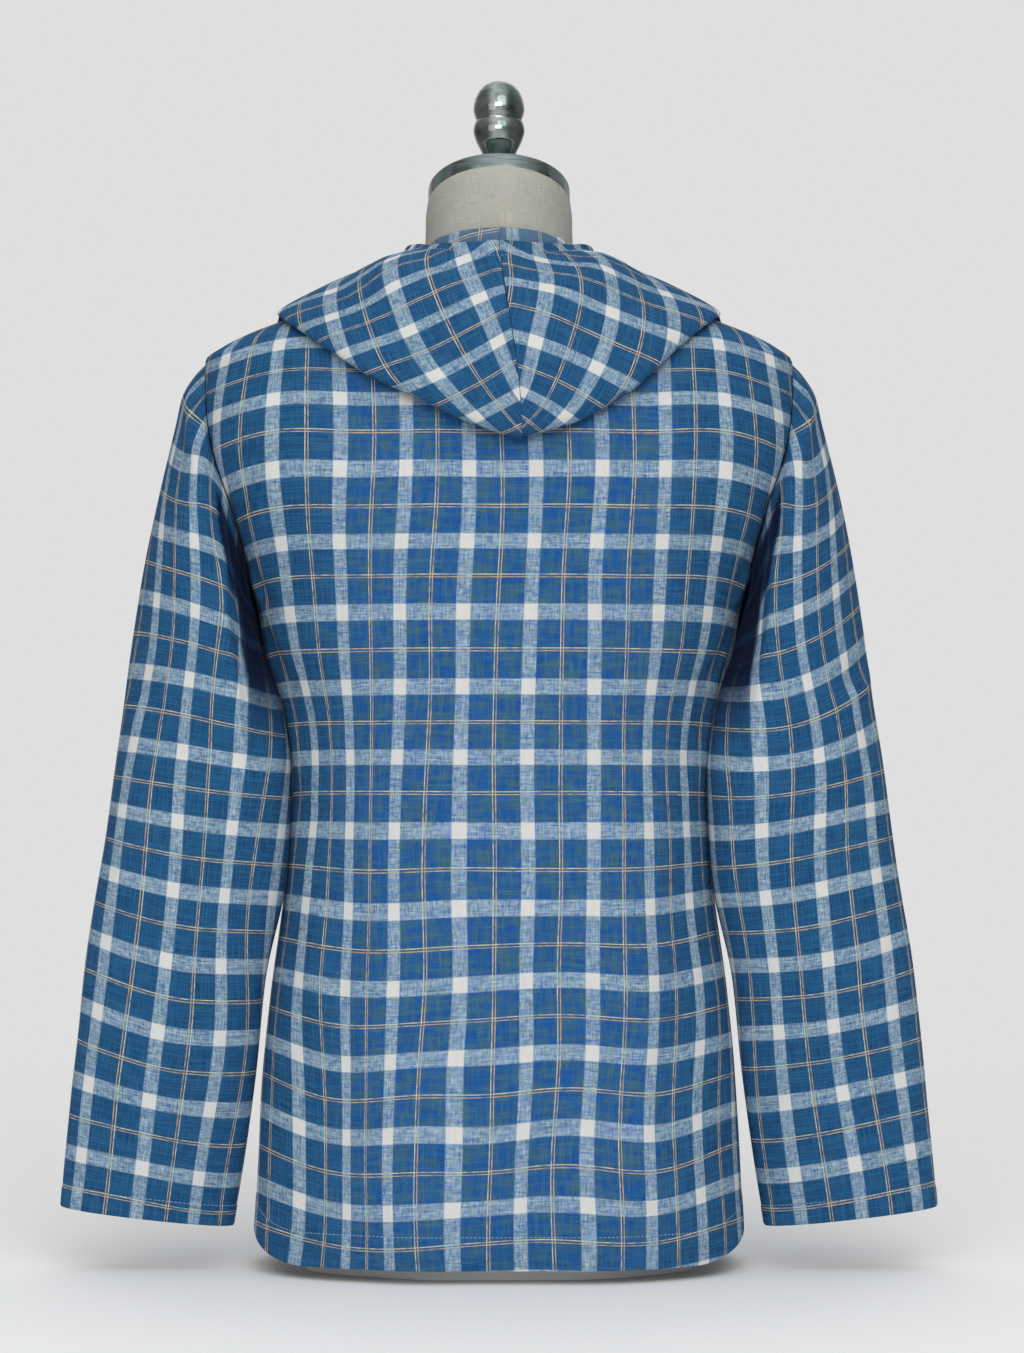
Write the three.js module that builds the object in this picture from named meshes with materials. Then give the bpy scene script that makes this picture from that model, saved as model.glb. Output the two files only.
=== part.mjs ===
// A hooded linen shirt, buttoned, on a limbless dress form. Millimetres, +Z up, the wearer faces -Y.
// The origin is the middle of the form's flat base. +X is the wearer's left.
import * as THREE from "three";

// Driving sizes.
const WALL = 1.6; // wall of every cloth piece
const SEAM = 0.3; // gap between pieces that are sewn or stand on each other
const REST = 1.6; // gap between the cloth and the form where the shirt hangs from it
const HEM = { low: 10, high: 31, flat: 0.6 }; // hem height at the middle and side, and its flat share
const ARMHOLE = { middle: 610, rise: 90, back: 56, front: 52, steps: 10 };
const NECK_DROP = { back: 6, front: 47 }; // neckline below the side neck point
const LAP = 15; // how far each front passes the centre line
const BAND = { width: 30, ease: 25, panel: 250 }; // lapped edge of a front, of a panel this wide
const CAP_TILT = THREE.MathUtils.degToRad(22);
const CAP = { radius: 55.5, height: 11, floor: 8.5, z: 823.5 };
const BUTTON = { radius: 5.7, thick: 2.4, top: 688, pitch: 92, count: 7 };
const HOOD_MOUTH = 5; // width of the gap into the thrown-back hood
const HOOD_TWIST = 17; // the hood's tip hangs this far to the wearer's right
const HOOD_STATIONS = 19; // sections of each hood half, from the centre back to the centre front

// The shirt's outer surface in horizontal sections: half width, depth behind and in front of the
// middle, and how square the section is (2 is an ellipse).
const BODY = table(["z", "half", "back", "front", "square"], [
  [8, 190, 117, 112, 2.7],
  [120, 184.5, 116, 111, 2.6],
  [210, 177, 115, 109, 2.4],
  [300, 166, 113, 107, 2.3],
  [370, 162.5, 112, 106, 2.25],
  [421, 165, 113, 107, 2.25],
  [450, 172, 115, 109, 2.3],
  [475, 180.5, 116, 110, 2.4],
  [520, 191, 117, 112, 2.6],
  [580, 211, 117, 114, 3],
  [632, 228, 112, 112, 3.2],
  [660, 231, 106, 108, 3.1],
  [700, 228.5, 93, 95, 2.8],
  [710, 216, 89.5, 91, 2.7],
  [719, 199.7, 86, 88, 2.6],
  [740, 147, 79, 81, 2.4],
  [760, 97, 71, 73, 2.2],
  [772, 67, 66.5, 67, 2.1],
  [785, 62, 63, 63, 2],
  [830, 60.5, 61, 61, 2],
]);

// How far the form lies inside the shirt's outer surface, at its sides and at its back and front.
const INSET = table(["z", "side", "face"], [
  [0, 40, 24],
  [100, 27, 19],
  [200, 18, 16],
  [370, 15, 17],
  [450, 16, 15],
  [520, 20, 10],
  [580, 24, 7],
  [632, 32, 6],
  [670, 33, 5],
  [700, 24, WALL + REST],
  [712, 9, WALL + REST],
  [722, WALL + REST, WALL + REST],
  [750, WALL + REST, WALL + REST],
  [772, 4, 4.4],
]);

// The form's neck above the shoulders: radius, and how far each ring leans forward (degrees).
const NECK = table(["z", "radius", "lean"], [
  [781, 60, 2],
  [790, 58, 5],
  [802, 57.4, 12],
  [814, 57.2, 18],
  [823, 56, 22],
]);

// The sleeve in rings: the outer (upper) and inner (under) point of each, its half depth, the
// depth of its middle and its squareness. The first ring is the armhole.
const SLEEVE = table(["outX", "outZ", "inX", "inZ", "deep", "midY", "square"], [
  [246, 674, 193, 514, 66, 0, 2],
  [256, 634, 191.5, 504, 72, 1, 2.05],
  [266, 588, 188, 490, 73, 4, 2.1],
  [277, 527, 181.5, 470, 69, 10, 2.15],
  [286, 462, 171.5, 440, 61, 18, 2.2],
  [295, 392, 165.5, 381, 50, 28, 2.3],
  [303.5, 322, 166.5, 307, 43, 31, 2.35],
  [318, 236, 179.5, 221, 38, 28, 2.35],
  [326, 166, 187, 150, 35, 23, 2.3],
  [333, 100, 196, 84, 32, 18, 2.25],
  [338, 47, 204.5, 32, 31, 15, 2.2],
]);

// The hood, thrown back: by azimuth from the centre back, the heights of its neck seam, of the
// crest it rolls over, of the fold at its foot and of its face edge, and how far it puffs out.
const HOOD = table(["azimuth", "neck", "crest", "fold", "edge", "puff"], [
  [0, 766, 794, 637, 785, 27],
  [20, 766.5, 793, 654, 782, 27],
  [40, 768, 790, 674, 783, 25],
  [55, 770, 788, 696, 787, 21],
  [72, 771.5, 786, 722, 789, 17],
  [90, 772, 785, 732, 789, 15],
  [110, 768.5, 782, 716, 785, 14],
  [130, 757, 771, 704, 769, 13],
  [155, 736, 752, 706, 744, 12],
  [180, 725, 740, 713, 727, 11],
]);

// The large soft folds of the body, which run up from the hem: the azimuth, the height where each
// fades out, its half width in degrees and how far it stands out (or in, below zero).
const FOLDS = table(["azimuth", "high", "wide", "deep"], [
  [26, 330, 9, 4],
  [-34, 260, 10, 3.4],
  [54, 420, 9, -3],
  [-62, 380, 8, -2.6],
  [148, 360, 8, 4],
  [-142, 300, 9, 3.6],
  [122, 420, 9, -3],
  [-116, 340, 9, -2.6],
]);

function table(columns, rows) {
  return rows.map((row) => Object.fromEntries(columns.map((name, i) => [name, row[i]])));
}

// A smooth curve through one column of a table, that never overshoots its rows.
function curve(rows, key, column) {
  const x = rows.map((row) => row[key]);
  const y = rows.map((row) => row[column]);
  const rise = x.slice(1).map((_, i) => (y[i + 1] - y[i]) / (x[i + 1] - x[i]));
  const slope = y.map((_, i) => {
    if (i === 0) return rise[0];
    if (i === y.length - 1) return rise[i - 1];
    return rise[i - 1] * rise[i] > 0 ? 2 / (1 / rise[i - 1] + 1 / rise[i]) : 0;
  });
  return (at) => {
    const k = THREE.MathUtils.clamp(at, x[0], x[x.length - 1]);
    let i = 0;
    while (i < x.length - 2 && k > x[i + 1]) i++;
    const width = x[i + 1] - x[i];
    const t = (k - x[i]) / width;
    const ease = t * t * (3 - 2 * t);
    const start = t * (1 - t) * (1 - t) * width * slope[i];
    const end = t * t * (t - 1) * width * slope[i + 1];
    return y[i] * (1 - ease) + y[i + 1] * ease + start + end;
  };
}

function curves(rows, key) {
  const names = Object.keys(rows[0]).filter((name) => name !== key);
  const all = names.map((name) => [name, curve(rows, key, name)]);
  return (at) => Object.fromEntries(all.map(([name, f]) => [name, f(at)]));
}

const bodyAt = curves(BODY, "z");
const insetAt = curves(INSET, "z");
const hoodAt = curves(HOOD, "azimuth");
const smoothstep = THREE.MathUtils.smoothstep;
const bell = (x) => (Math.abs(x) < 1 ? (1 - x * x) ** 2 : 0);
const radians = THREE.MathUtils.degToRad;

// How far the body's folds push the surface out at an azimuth (degrees from the centre back).
function foldAt(azimuth, z) {
  return FOLDS.reduce((sum, fold) => {
    const across = ((azimuth - fold.azimuth + 540) % 360) - 180;
    const fade = 1 - smoothstep(z, 0.35 * fold.high, fold.high);
    return sum + fold.deep * fade * bell(across / (2 * fold.wide));
  }, 0);
}

// A point of the shirt's outer surface at an azimuth (0 is the centre back, 90 the wearer's left).
function surface(azimuth, z) {
  const section = bodyAt(z);
  const sin = Math.sin(radians(azimuth));
  const cos = Math.cos(radians(azimuth));
  const depth = cos > 0 ? section.back : section.front;
  const n = section.square;
  const reach = (Math.abs(sin / section.half) ** n + Math.abs(cos / depth) ** n) ** (-1 / n);
  const radius = reach + foldAt(azimuth, z);
  return new THREE.Vector3(radius * sin, radius * cos, z);
}

// The same point moved out along the surface's normal, or in, below zero.
function offset(azimuth, z, out) {
  const turn = surface(azimuth + 0.5, z).sub(surface(azimuth - 0.5, z));
  const rise = surface(azimuth, z + 0.5).sub(surface(azimuth, z - 0.5));
  const normal = new THREE.Vector3().crossVectors(rise, turn).normalize();
  return surface(azimuth, z).addScaledVector(normal, out);
}

// The azimuth of a place on a panel at a height. The panel runs from the centre line of the back or
// front (face 1 or -1) to its edge: the side seam, the shoulder seam or the armhole. The place is
// a function from the width of that half panel to a distance from its centre line.
function panelAzimuth(z, face, side, place) {
  const rise = (z - ARMHOLE.middle) / ARMHOLE.rise;
  const opening = Math.abs(rise) < 1 ? Math.sqrt(1 - rise * rise) : 0;
  const edgeY = Math.max(SEAM / 2, opening * (face > 0 ? ARMHOLE.back : ARMHOLE.front));
  const start = face > 0 ? 0 : 180;
  const steps = 120;
  const arc = [0];
  const turns = [start];
  for (let i = 1; i <= steps; i++) {
    const azimuth = start + (face * 90 * i) / steps;
    const point = surface(side * azimuth, z);
    const last = surface(side * turns[i - 1], z);
    if (face * point.y < edgeY) {
      const part = (face * last.y - edgeY) / (face * (last.y - point.y));
      turns.push(turns[i - 1] + part * (azimuth - turns[i - 1]));
      arc.push(arc[i - 1] + part * point.distanceTo(last));
      break;
    }
    turns.push(azimuth);
    arc.push(arc[i - 1] + point.distanceTo(last));
  }
  const distance = place(arc[arc.length - 1]);
  let i = 1;
  while (i < arc.length - 1 && arc[i] < distance) i++;
  const part = (distance - arc[i - 1]) / (arc[i] - arc[i - 1]);
  return side * (turns[i - 1] + part * (turns[i] - turns[i - 1]));
}

// A closed wall from a grid of outer points, with the inner points one wall further in. The rows
// of a joined grid run round a tube. A lent grid has a row more at each end, there only to give
// the next one its slope. A split grid ends on the side and shoulder seams, in the plane y = 0,
// so its normals lie in that plane there.
function wall(points, thick, { joined = false, lent = false, split = false } = {}) {
  const grid = lent ? points.slice(1, -1) : points;
  const rows = grid.length;
  const columns = grid[0].length;
  const clamp = (k, count) => Math.min(count - 1, Math.max(0, k));
  const at = (i, j) => {
    const row = lent ? points[i + 1] : grid[clamp(i, rows)];
    return row[joined ? (j + columns) % columns : clamp(j, columns)];
  };
  const inner = grid.map((row, i) =>
    row.map((point, j) => {
      const up = at(i + 1, j).clone().sub(at(i - 1, j));
      const over = at(i, j + 1).clone().sub(at(i, j - 1));
      const normal = up.cross(over);
      if (split && Math.abs(point.y) < 1) normal.y = 0;
      return point.clone().addScaledVector(normal.normalize(), -thick);
    }),
  );
  const index = [];
  const outerId = (i, j) => i * columns + (j % columns);
  const innerId = (i, j) => rows * columns + outerId(i, j);
  const quad = (a, b, c, d) => index.push(a, b, c, a, c, d);
  const last = joined ? columns : columns - 1;
  for (let j = 0; j < last; j++) {
    for (let i = 0; i < rows - 1; i++) {
      quad(outerId(i, j), outerId(i, j + 1), outerId(i + 1, j + 1), outerId(i + 1, j));
      quad(innerId(i, j), innerId(i + 1, j), innerId(i + 1, j + 1), innerId(i, j + 1));
    }
    quad(outerId(0, j), innerId(0, j), innerId(0, j + 1), outerId(0, j + 1));
    const top = rows - 1;
    quad(outerId(top, j), outerId(top, j + 1), innerId(top, j + 1), innerId(top, j));
  }
  if (!joined)
    for (let i = 0; i < rows - 1; i++) {
      quad(outerId(i, 0), outerId(i + 1, 0), innerId(i + 1, 0), innerId(i, 0));
      const end = columns - 1;
      quad(outerId(i, end), innerId(i, end), innerId(i + 1, end), outerId(i + 1, end));
    }
  return solid([...grid.flat(), ...inner.flat()], index);
}

// A geometry from points and triangles, turned so that its faces point out.
function solid(points, index) {
  let volume = 0;
  for (let i = 0; i < index.length; i += 3) {
    const [a, b, c] = index.slice(i, i + 3).map((k) => points[k]);
    volume += a.dot(new THREE.Vector3().crossVectors(b, c));
  }
  if (volume < 0) index.reverse();
  const geometry = new THREE.BufferGeometry().setFromPoints(points);
  geometry.setIndex(index);
  return geometry;
}

// Row heights of the body panels: even below the underarm, by the armhole's angle beside it.
function bodyRows() {
  const { middle, rise, steps } = ARMHOLE;
  const below = range(8).map((i) => (i / 8) * (middle - rise));
  const beside = range(steps + 1).map((i) => middle - rise * Math.cos((Math.PI * i) / steps));
  return [...below, ...beside, 709, 720, 738, 756, 772];
}

function range(count) {
  return Array.from({ length: count }, (_, i) => i);
}

// A point of the back (face 1) or of a front (face -1): the row's height, bent to the hem and neck.
function panelHeight(z, share, face) {
  const hem = HEM.low + (HEM.high - HEM.low) * smoothstep(share, HEM.flat, 1);
  const low = z + hem * (1 - smoothstep(z, 0, 420));
  const neckDrop = face > 0 ? NECK_DROP.back : NECK_DROP.front;
  const drop = neckDrop * (1 - share) ** 0.8 * (1 + share) * smoothstep(z, 560, 772);
  return low - drop;
}

// The back's points in rows, closer together towards its edges.
function backGrid() {
  const half = 10;
  const shares = range(2 * half + 1).map((j) => Math.sin((Math.PI / 2) * (j / half - 1)));
  return bodyRows().map((row) =>
    shares.map((share) => {
      const z = panelHeight(row, Math.abs(share), 1);
      const azimuth = panelAzimuth(z, 1, Math.sign(share) || 1, (width) => Math.abs(share) * width);
      return surface(azimuth, z);
    }),
  );
}

// A front's points: the wearer's left (side 1) laps over the right, so its edge stands further out.
function frontGrid(side) {
  const last = 11;
  const columns = range(last + 1).map((j) => (side > 0 ? last - j : j) / last);
  return bodyRows().map((row) =>
    columns.map((column) => {
      const share = Math.sin((Math.PI / 2) * column) ** 1.1;
      const z = panelHeight(row, share, -1);
      const azimuth = panelAzimuth(z, -1, side, (width) => share * (width + LAP) - LAP);
      const flat = 1 - smoothstep(share * BAND.panel, BAND.width, BAND.width + BAND.ease);
      return offset(azimuth, z, side > 0 ? (WALL + 2 * SEAM) * flat : 0);
    }),
  );
}

// The armhole loop on the body, drawn in by the seam's gap: 0 is the shoulder, 90 the back.
function armholePoint(angle) {
  const sin = Math.sin(radians(angle));
  const z = ARMHOLE.middle + (ARMHOLE.rise - 2 * SEAM) * Math.cos(radians(angle));
  const y = sin * ((sin > 0 ? ARMHOLE.back : ARMHOLE.front) - 2 * SEAM);
  const section = bodyAt(z);
  const n = section.square;
  const depth = y > 0 ? section.back : section.front;
  const x = section.half * (1 - Math.abs(y / depth) ** n) ** (1 / n);
  return new THREE.Vector3(x + SEAM, y, z);
}

// One ring of the sleeve, at a row number of its table that may lie between rows.
function sleevePoint(ring, angle) {
  const sin = Math.sin(radians(angle));
  const cos = Math.cos(radians(angle));
  const round = (Math.abs(sin) ** ring.square + Math.abs(cos) ** ring.square) ** (-1 / ring.square);
  const outward = (1 + cos * round) / 2;
  return new THREE.Vector3(
    ring.inX + (ring.outX - ring.inX) * outward,
    ring.midY + ring.deep * sin * round,
    ring.inZ + (ring.outZ - ring.inZ) * outward,
  );
}

function sleeve(side) {
  const rows = SLEEVE.map((row, i) => ({ ...row, at: i + 1 }));
  const ringAt = curves(rows, "at");
  const stations = [1, 1.5, 2, 2.5, 3, 3.5, 4, 5, 6, 7, 8, 9, 10, 11];
  const around = 2 * ARMHOLE.steps;
  const angles = range(around).map((j) => (side * 360 * j) / around);
  const mirror = new THREE.Vector3(side, 1, 1);
  const grid = [angles.map((angle) => armholePoint(angle).multiply(mirror))];
  for (const at of stations) {
    const ring = ringAt(at);
    grid.push(angles.map((angle) => sleevePoint(ring, angle).multiply(mirror)));
  }
  return wall(grid, WALL, { joined: true });
}

// The hood's section at an azimuth: up the neck, over the crest, down the back to the fold, and
// up again to the face edge. Each row of it is [height, distance out from the shirt], along the
// face of the cloth that is outermost when the hood is worn.
function hoodSection(azimuth) {
  const row = hoodAt(Math.min(Math.abs(azimuth), 360 - Math.abs(azimuth)));
  const lining = WALL + 6 * SEAM;
  const roll = lining / 2 + 0.4;
  const path = [[row.neck + SEAM, 0]];
  path.push([(row.neck + row.crest) / 2, 0], [row.crest, 0]);
  path.push([row.crest + roll, lining / 4], [row.crest + roll, (3 * lining) / 4]);
  path.push([row.crest, lining]);
  for (const t of [0.2, 0.4, 0.6, 0.8, 1]) path.push([row.crest + t * (row.fold - row.crest), lining + t]);
  const turn = (0.62 * row.puff - lining) / 2;
  for (const a of [45, 90, 135]) {
    const out = lining + 1 + turn * (1 - Math.cos(radians(a)));
    path.push([row.fold - turn * Math.sin(radians(a)), out]);
  }
  const top = lining + 2 * WALL + HOOD_MOUTH;
  for (const t of [0, 0.2, 0.4, 0.6, 0.8, 0.93, 1]) {
    const foot = lining + 1 + 2 * turn;
    const puff = foot + (row.puff - foot) * Math.sin(Math.PI * t * 0.8);
    path.push([row.fold + t * (row.edge - row.fold), puff + (top - puff) * smoothstep(t, 0.6, 1)]);
  }
  return path;
}

// One half of the hood. Its tip hangs aside, so at the centre seams the halves are drawn apart.
function hood(side) {
  const last = HOOD_STATIONS - 1;
  const twist = { top: 790, deep: 160, wide: 35 };
  const columns = range(HOOD_STATIONS + 2).map((k) => {
    const i = k - 1;
    const azimuth = (side * 180 * i) / last;
    const gap = i === 0 || i === last ? side * SEAM : 0;
    return hoodSection(azimuth).map(([z, out]) => {
      const point = offset(azimuth, z, out);
      const hang = smoothstep(twist.top - z, 0, twist.deep) * Math.exp(-((azimuth / twist.wide) ** 2));
      point.x += gap - HOOD_TWIST * hang * smoothstep(out, 1, 6);
      return point;
    });
  });
  return wall(columns, -side * WALL, { lent: true });
}

// A closed loft through rings of points, with a flat middle at each end.
function loft(rings) {
  const columns = rings[0].length;
  const points = rings.flat();
  const index = [];
  for (let i = 0; i < rings.length - 1; i++)
    for (let j = 0; j < columns; j++) {
      const a = i * columns + j;
      const b = i * columns + ((j + 1) % columns);
      index.push(a, b, b + columns, a, b + columns, a + columns);
    }
  for (const [ring, turn] of [[0, -1], [rings.length - 1, 1]]) {
    const middle = points.length;
    const centre = new THREE.Vector3();
    rings[ring].forEach((point) => centre.addScaledVector(point, 1 / columns));
    points.push(centre);
    for (let j = 0; j < columns; j++) {
      const a = ring * columns + j;
      const b = ring * columns + ((j + 1) % columns);
      index.push(...(turn > 0 ? [middle, a, b] : [middle, b, a]));
    }
  }
  return solid(points, index);
}

function formBody() {
  const azimuths = range(36).map((j) => 10 * j);
  const heights = [0, 80, 180, 285, 370, 421, 475, 520, 560, 600, 632, 658, 680, 696];
  heights.push(704, 712, 722, 735, 750, 760, 766, 772);
  const rings = heights.map((z) =>
    azimuths.map((azimuth) => {
      const inset = insetAt(z);
      const sideways = Math.sin(radians(azimuth)) ** 2;
      const point = offset(azimuth, z, -(inset.face + (inset.side - inset.face) * sideways));
      if (z === 0) point.z = 0;
      return point;
    }),
  );
  for (const ring of NECK)
    rings.push(
      azimuths.map((azimuth) => {
        const x = ring.radius * Math.sin(radians(azimuth));
        const y = ring.radius * Math.cos(radians(azimuth));
        return new THREE.Vector3(x, y, ring.z + y * Math.tan(radians(ring.lean)));
      }),
    );
  return loft(rings);
}

const lathe = (profile, segments) =>
  new THREE.LatheGeometry(profile.map(([r, h]) => new THREE.Vector2(r, h)), segments).rotateX(Math.PI / 2);

function neckCap() {
  const { radius, height, floor } = CAP;
  const profile = [
    [0, 0],
    [radius - 1, 0],
    [radius, 1],
    [radius, height - 1.2],
    [radius - 0.6, height - 0.3],
    [radius - 1.6, height],
    [radius - 2.7, height - 0.6],
    [radius - 3, floor],
    [0, floor],
  ];
  return lathe(profile, 48);
}

// The finial stands upright on the leaning cap, so its foot is cut to the cap's slope.
function finial() {
  const profile = [
    [0, 0],
    [14.5, 0],
    [14.5, 8.5],
    [11.4, 13],
    [10.2, 20],
    [11.4, 28],
    [14.4, 34.5],
    [17.9, 41],
    [20, 47.5],
    [20.2, 50.5],
    [19.7, 54],
    [18.7, 57],
    [18.1, 57.6],
    [18.3, 59.5],
    [19.6, 63],
    [20.3, 66.5],
    [19.9, 70.5],
    [18.6, 75.5],
    [16.3, 80.5],
    [12.6, 85],
    [7.4, 88],
    [0, 89],
  ];
  const geometry = lathe(profile, 32);
  const position = geometry.getAttribute("position");
  for (let i = 0; i < position.count; i++)
    if (position.getZ(i) < 1) position.setZ(i, position.getY(i) * Math.tan(CAP_TILT));
  return geometry;
}

function button() {
  const { radius, thick } = BUTTON;
  const profile = [
    [0, 0],
    [radius - 0.8, 0],
    [radius, 0.8],
    [radius, thick - 0.5],
    [radius - 0.7, thick],
    [radius - 1.6, thick - 0.1],
    [radius - 2.4, thick - 0.8],
    [0, thick - 0.8],
  ];
  return lathe(profile, 14);
}

const finish = (color, roughness, metalness) =>
  new THREE.MeshStandardMaterial({ color, roughness, metalness });
const linen = finish(0x3a6f9c, 0.92, 0);
const canvas = finish(0xb9b9ad, 0.95, 0);
const brushed = finish(0x9aa39f, 0.35, 1);
const chrome = finish(0xb8bcbc, 0.12, 1);
const horn = finish(0x37506b, 0.4, 0);

const shirt = new THREE.Group();
function add(name, geometry, material) {
  const mesh = new THREE.Mesh(geometry, material);
  mesh.name = name;
  shirt.add(mesh);
  return mesh;
}

add("form_body", formBody(), canvas);
const cap = add("neck_cap", neckCap(), brushed);
cap.position.set(0, 0, CAP.z + SEAM / 2);
cap.rotation.x = CAP_TILT;
const knob = add("finial", finial(), chrome);
knob.position.set(0, 0, CAP.z + (CAP.floor + 1.5 * SEAM) / Math.cos(CAP_TILT));
add("back", wall(backGrid(), WALL, { split: true }), linen);
const upperFront = frontGrid(1);
add("front_left", wall(upperFront, WALL, { split: true }), linen);
add("front_right", wall(frontGrid(-1), WALL, { split: true }), linen);
add("sleeve_left", sleeve(1), linen);
add("sleeve_right", sleeve(-1), linen);
add("hood_left", hood(1), linen);
add("hood_right", hood(-1), linen);

// Each button lies on the facets of the upper front, at the centre line.
const lapLine = upperFront.map((row) => {
  const [inside, edge] = row.slice(-2);
  return inside.clone().lerp(edge, inside.x / (inside.x - edge.x));
});
for (const i of range(BUTTON.count)) {
  const z = BUTTON.top - i * BUTTON.pitch;
  const above = lapLine.findIndex((point) => point.z > z);
  const [low, high] = lapLine.slice(above - 1, above + 1);
  const seat = low.clone().lerp(high, (z - low.z) / (high.z - low.z));
  const face = new THREE.Vector3(1, 0, 0).cross(high.clone().sub(low)).normalize();
  const disc = add("button_" + (i + 1), button(), horn);
  disc.position.copy(seat.addScaledVector(face, SEAM));
  disc.quaternion.setFromUnitVectors(new THREE.Vector3(0, 0, 1), face);
}

export default shirt;
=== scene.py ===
"""The looks of a hooded plaid linen shirt on a limbless dress form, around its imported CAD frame.

Sizes in the tables are millimetres, as in the part's source, whose shapes are repeated here in finer
steps: +Z is up, the wearer faces -Y and +X is the wearer's left. Meshes are made in metres.
"""
import math

import bpy
import numpy as np
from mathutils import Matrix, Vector


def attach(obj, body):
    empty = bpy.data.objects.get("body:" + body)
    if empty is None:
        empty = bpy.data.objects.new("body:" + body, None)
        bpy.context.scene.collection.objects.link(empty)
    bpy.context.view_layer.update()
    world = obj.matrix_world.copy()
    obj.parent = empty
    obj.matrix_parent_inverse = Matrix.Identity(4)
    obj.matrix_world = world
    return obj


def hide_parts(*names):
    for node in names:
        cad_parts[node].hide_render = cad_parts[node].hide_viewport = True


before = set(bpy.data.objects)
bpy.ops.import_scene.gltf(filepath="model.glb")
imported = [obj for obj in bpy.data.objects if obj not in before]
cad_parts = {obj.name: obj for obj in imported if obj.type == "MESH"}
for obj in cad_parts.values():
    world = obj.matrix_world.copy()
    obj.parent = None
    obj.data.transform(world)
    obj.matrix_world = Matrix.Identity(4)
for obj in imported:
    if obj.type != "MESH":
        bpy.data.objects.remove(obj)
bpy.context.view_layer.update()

MM = 0.001
WALL = 1.6  # wall of every CAD cloth piece
SEAM = 0.3  # gap between pieces that are sewn or stand on each other
REST = 1.6  # gap between the cloth and the form where the shirt hangs from it
CLOTH = 0.8  # thickness of the linen shown here, with its two faces
STEP = 3.3  # spacing of the cloth's mesh
HEM = {"low": 10, "high": 31, "flat": 0.6}  # heights at the middle and the side seams, and its level share
ARMHOLE = {"middle": 610, "rise": 90, "back": 56, "front": 52}  # an oval: half height and half depths
NECK_DROP = {"back": 6, "front": 47}  # how far the neck's edge dips at the centre
LAP = 15  # how far each front passes the centre
BAND = {"width": 30, "ease": 25, "panel": 250}  # the fronts' folded edges, and how their lap eases off
FRONT_ROW = 100  # a mesh row of the fronts below the armhole, where columns are looked up
BACK_SEEN = 20  # the back's bands were measured from this y on
CAP_TILT = math.radians(22)
CAP = {"radius": 55.5, "height": 11, "floor": 8.5, "z": 823.5}
CAP_RIM = 3.6  # how much higher than its CAD solid the cap's rim shows
NECK_SEAM = {"degrees": 6.4, "along": 6.5, "radius": 58.0}  # the form's seam, right of the centre back
BUTTON = {"radius": 5.7, "thick": 2.4, "dish": 0.9, "top": 688, "pitch": 92, "count": 7}
BUTTON_HOLE = {"radius": 0.85, "from_middle": 1.75}
STITCH = {"long": 2.3, "gap": 0.9, "radius": 0.22}
THREAD_SIDES = 6
HOOD_MOUTH = 5  # gap between the face edge and the hood's inner layers
HOOD_TWIST = 17  # how far the hanging hood leans to the wearer's right
HOOD_GIRTH_AT = 735.0  # the height at which the hood's length round the neck is measured
HOOD_SAG = {"left": {"at": 15, "wide": 24, "deep": 5}, "right": {"at": 30, "wide": 34, "deep": 10}}
TURNING = {"hem": 25, "cuff": 16, "hood": 17}  # widths of the turned and stitched edges
PLAID = {"across": 48.6, "down": 55, "warp_band": 10.3, "weft_band": 12}  # repeats, and widths of the bands
BAND_BLUR = 0.6  # how far the edges of a white band fade
LINE = {"from_middle": 1.05, "full": 0.26, "gone": 0.5}  # each of two thin lines, and how it fades out
THREAD_PITCH = {"linen": 0.62, "canvas": 0.7}
SLEEVE_GIRTH = 430
LOOSE = {"panel": 16, "other": 14}  # creases end this far before a seam or an edge
# The photo's view, from behind the shirt: degrees, metres, and a share of the frame's side.
CAMERA = {"angle": 22.1, "tilt": 1.855, "distance": 2.7, "height": 0.368, "shift": 0.0096}


def table(names, rows):
    return dict(zip(names.split(), np.array(rows, float).T))


# Level sections of the shirt: half width, depth to the back and the front, and how square they are.
BODY = table("z half back front square", [
    [8, 190, 117, 112, 2.7],
    [120, 184.5, 116, 111, 2.6],
    [210, 177, 115, 109, 2.4],
    [300, 166, 113, 107, 2.3],
    [370, 162.5, 112, 106, 2.25],
    [421, 165, 113, 107, 2.25],
    [450, 172, 115, 109, 2.3],
    [475, 180.5, 116, 110, 2.4],
    [520, 191, 117, 112, 2.6],
    [580, 211, 117, 114, 3],
    [632, 228, 112, 112, 3.2],
    [660, 231, 106, 108, 3.1],
    [700, 228.5, 93, 95, 2.8],
    [710, 216, 89.5, 91, 2.7],
    [719, 199.7, 86, 88, 2.6],
    [740, 147, 79, 81, 2.4],
    [760, 97, 71, 73, 2.2],
    [772, 67, 66.5, 67, 2.1],
    [785, 62, 63, 63, 2],
    [830, 60.5, 61, 61, 2],
])
# How far the form lies inside the shirt, at its sides and at its back and front.
INSET = table("z side face", [
    [0, 40, 24],
    [100, 27, 19],
    [200, 18, 16],
    [370, 15, 17],
    [450, 16, 15],
    [520, 20, 10],
    [580, 24, 7],
    [632, 32, 6],
    [670, 33, 5],
    [700, 24, WALL + REST],
    [712, 9, WALL + REST],
    [722, WALL + REST, WALL + REST],
    [750, WALL + REST, WALL + REST],
    [772, 4, 4.4],
])
# The form's neck: rings of that radius, leaning by those degrees.
NECK = table("z radius lean", [
    [781, 60, 2],
    [790, 58, 5],
    [802, 57.4, 12],
    [814, 57.2, 18],
    [823, 56, 22],
])
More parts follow.
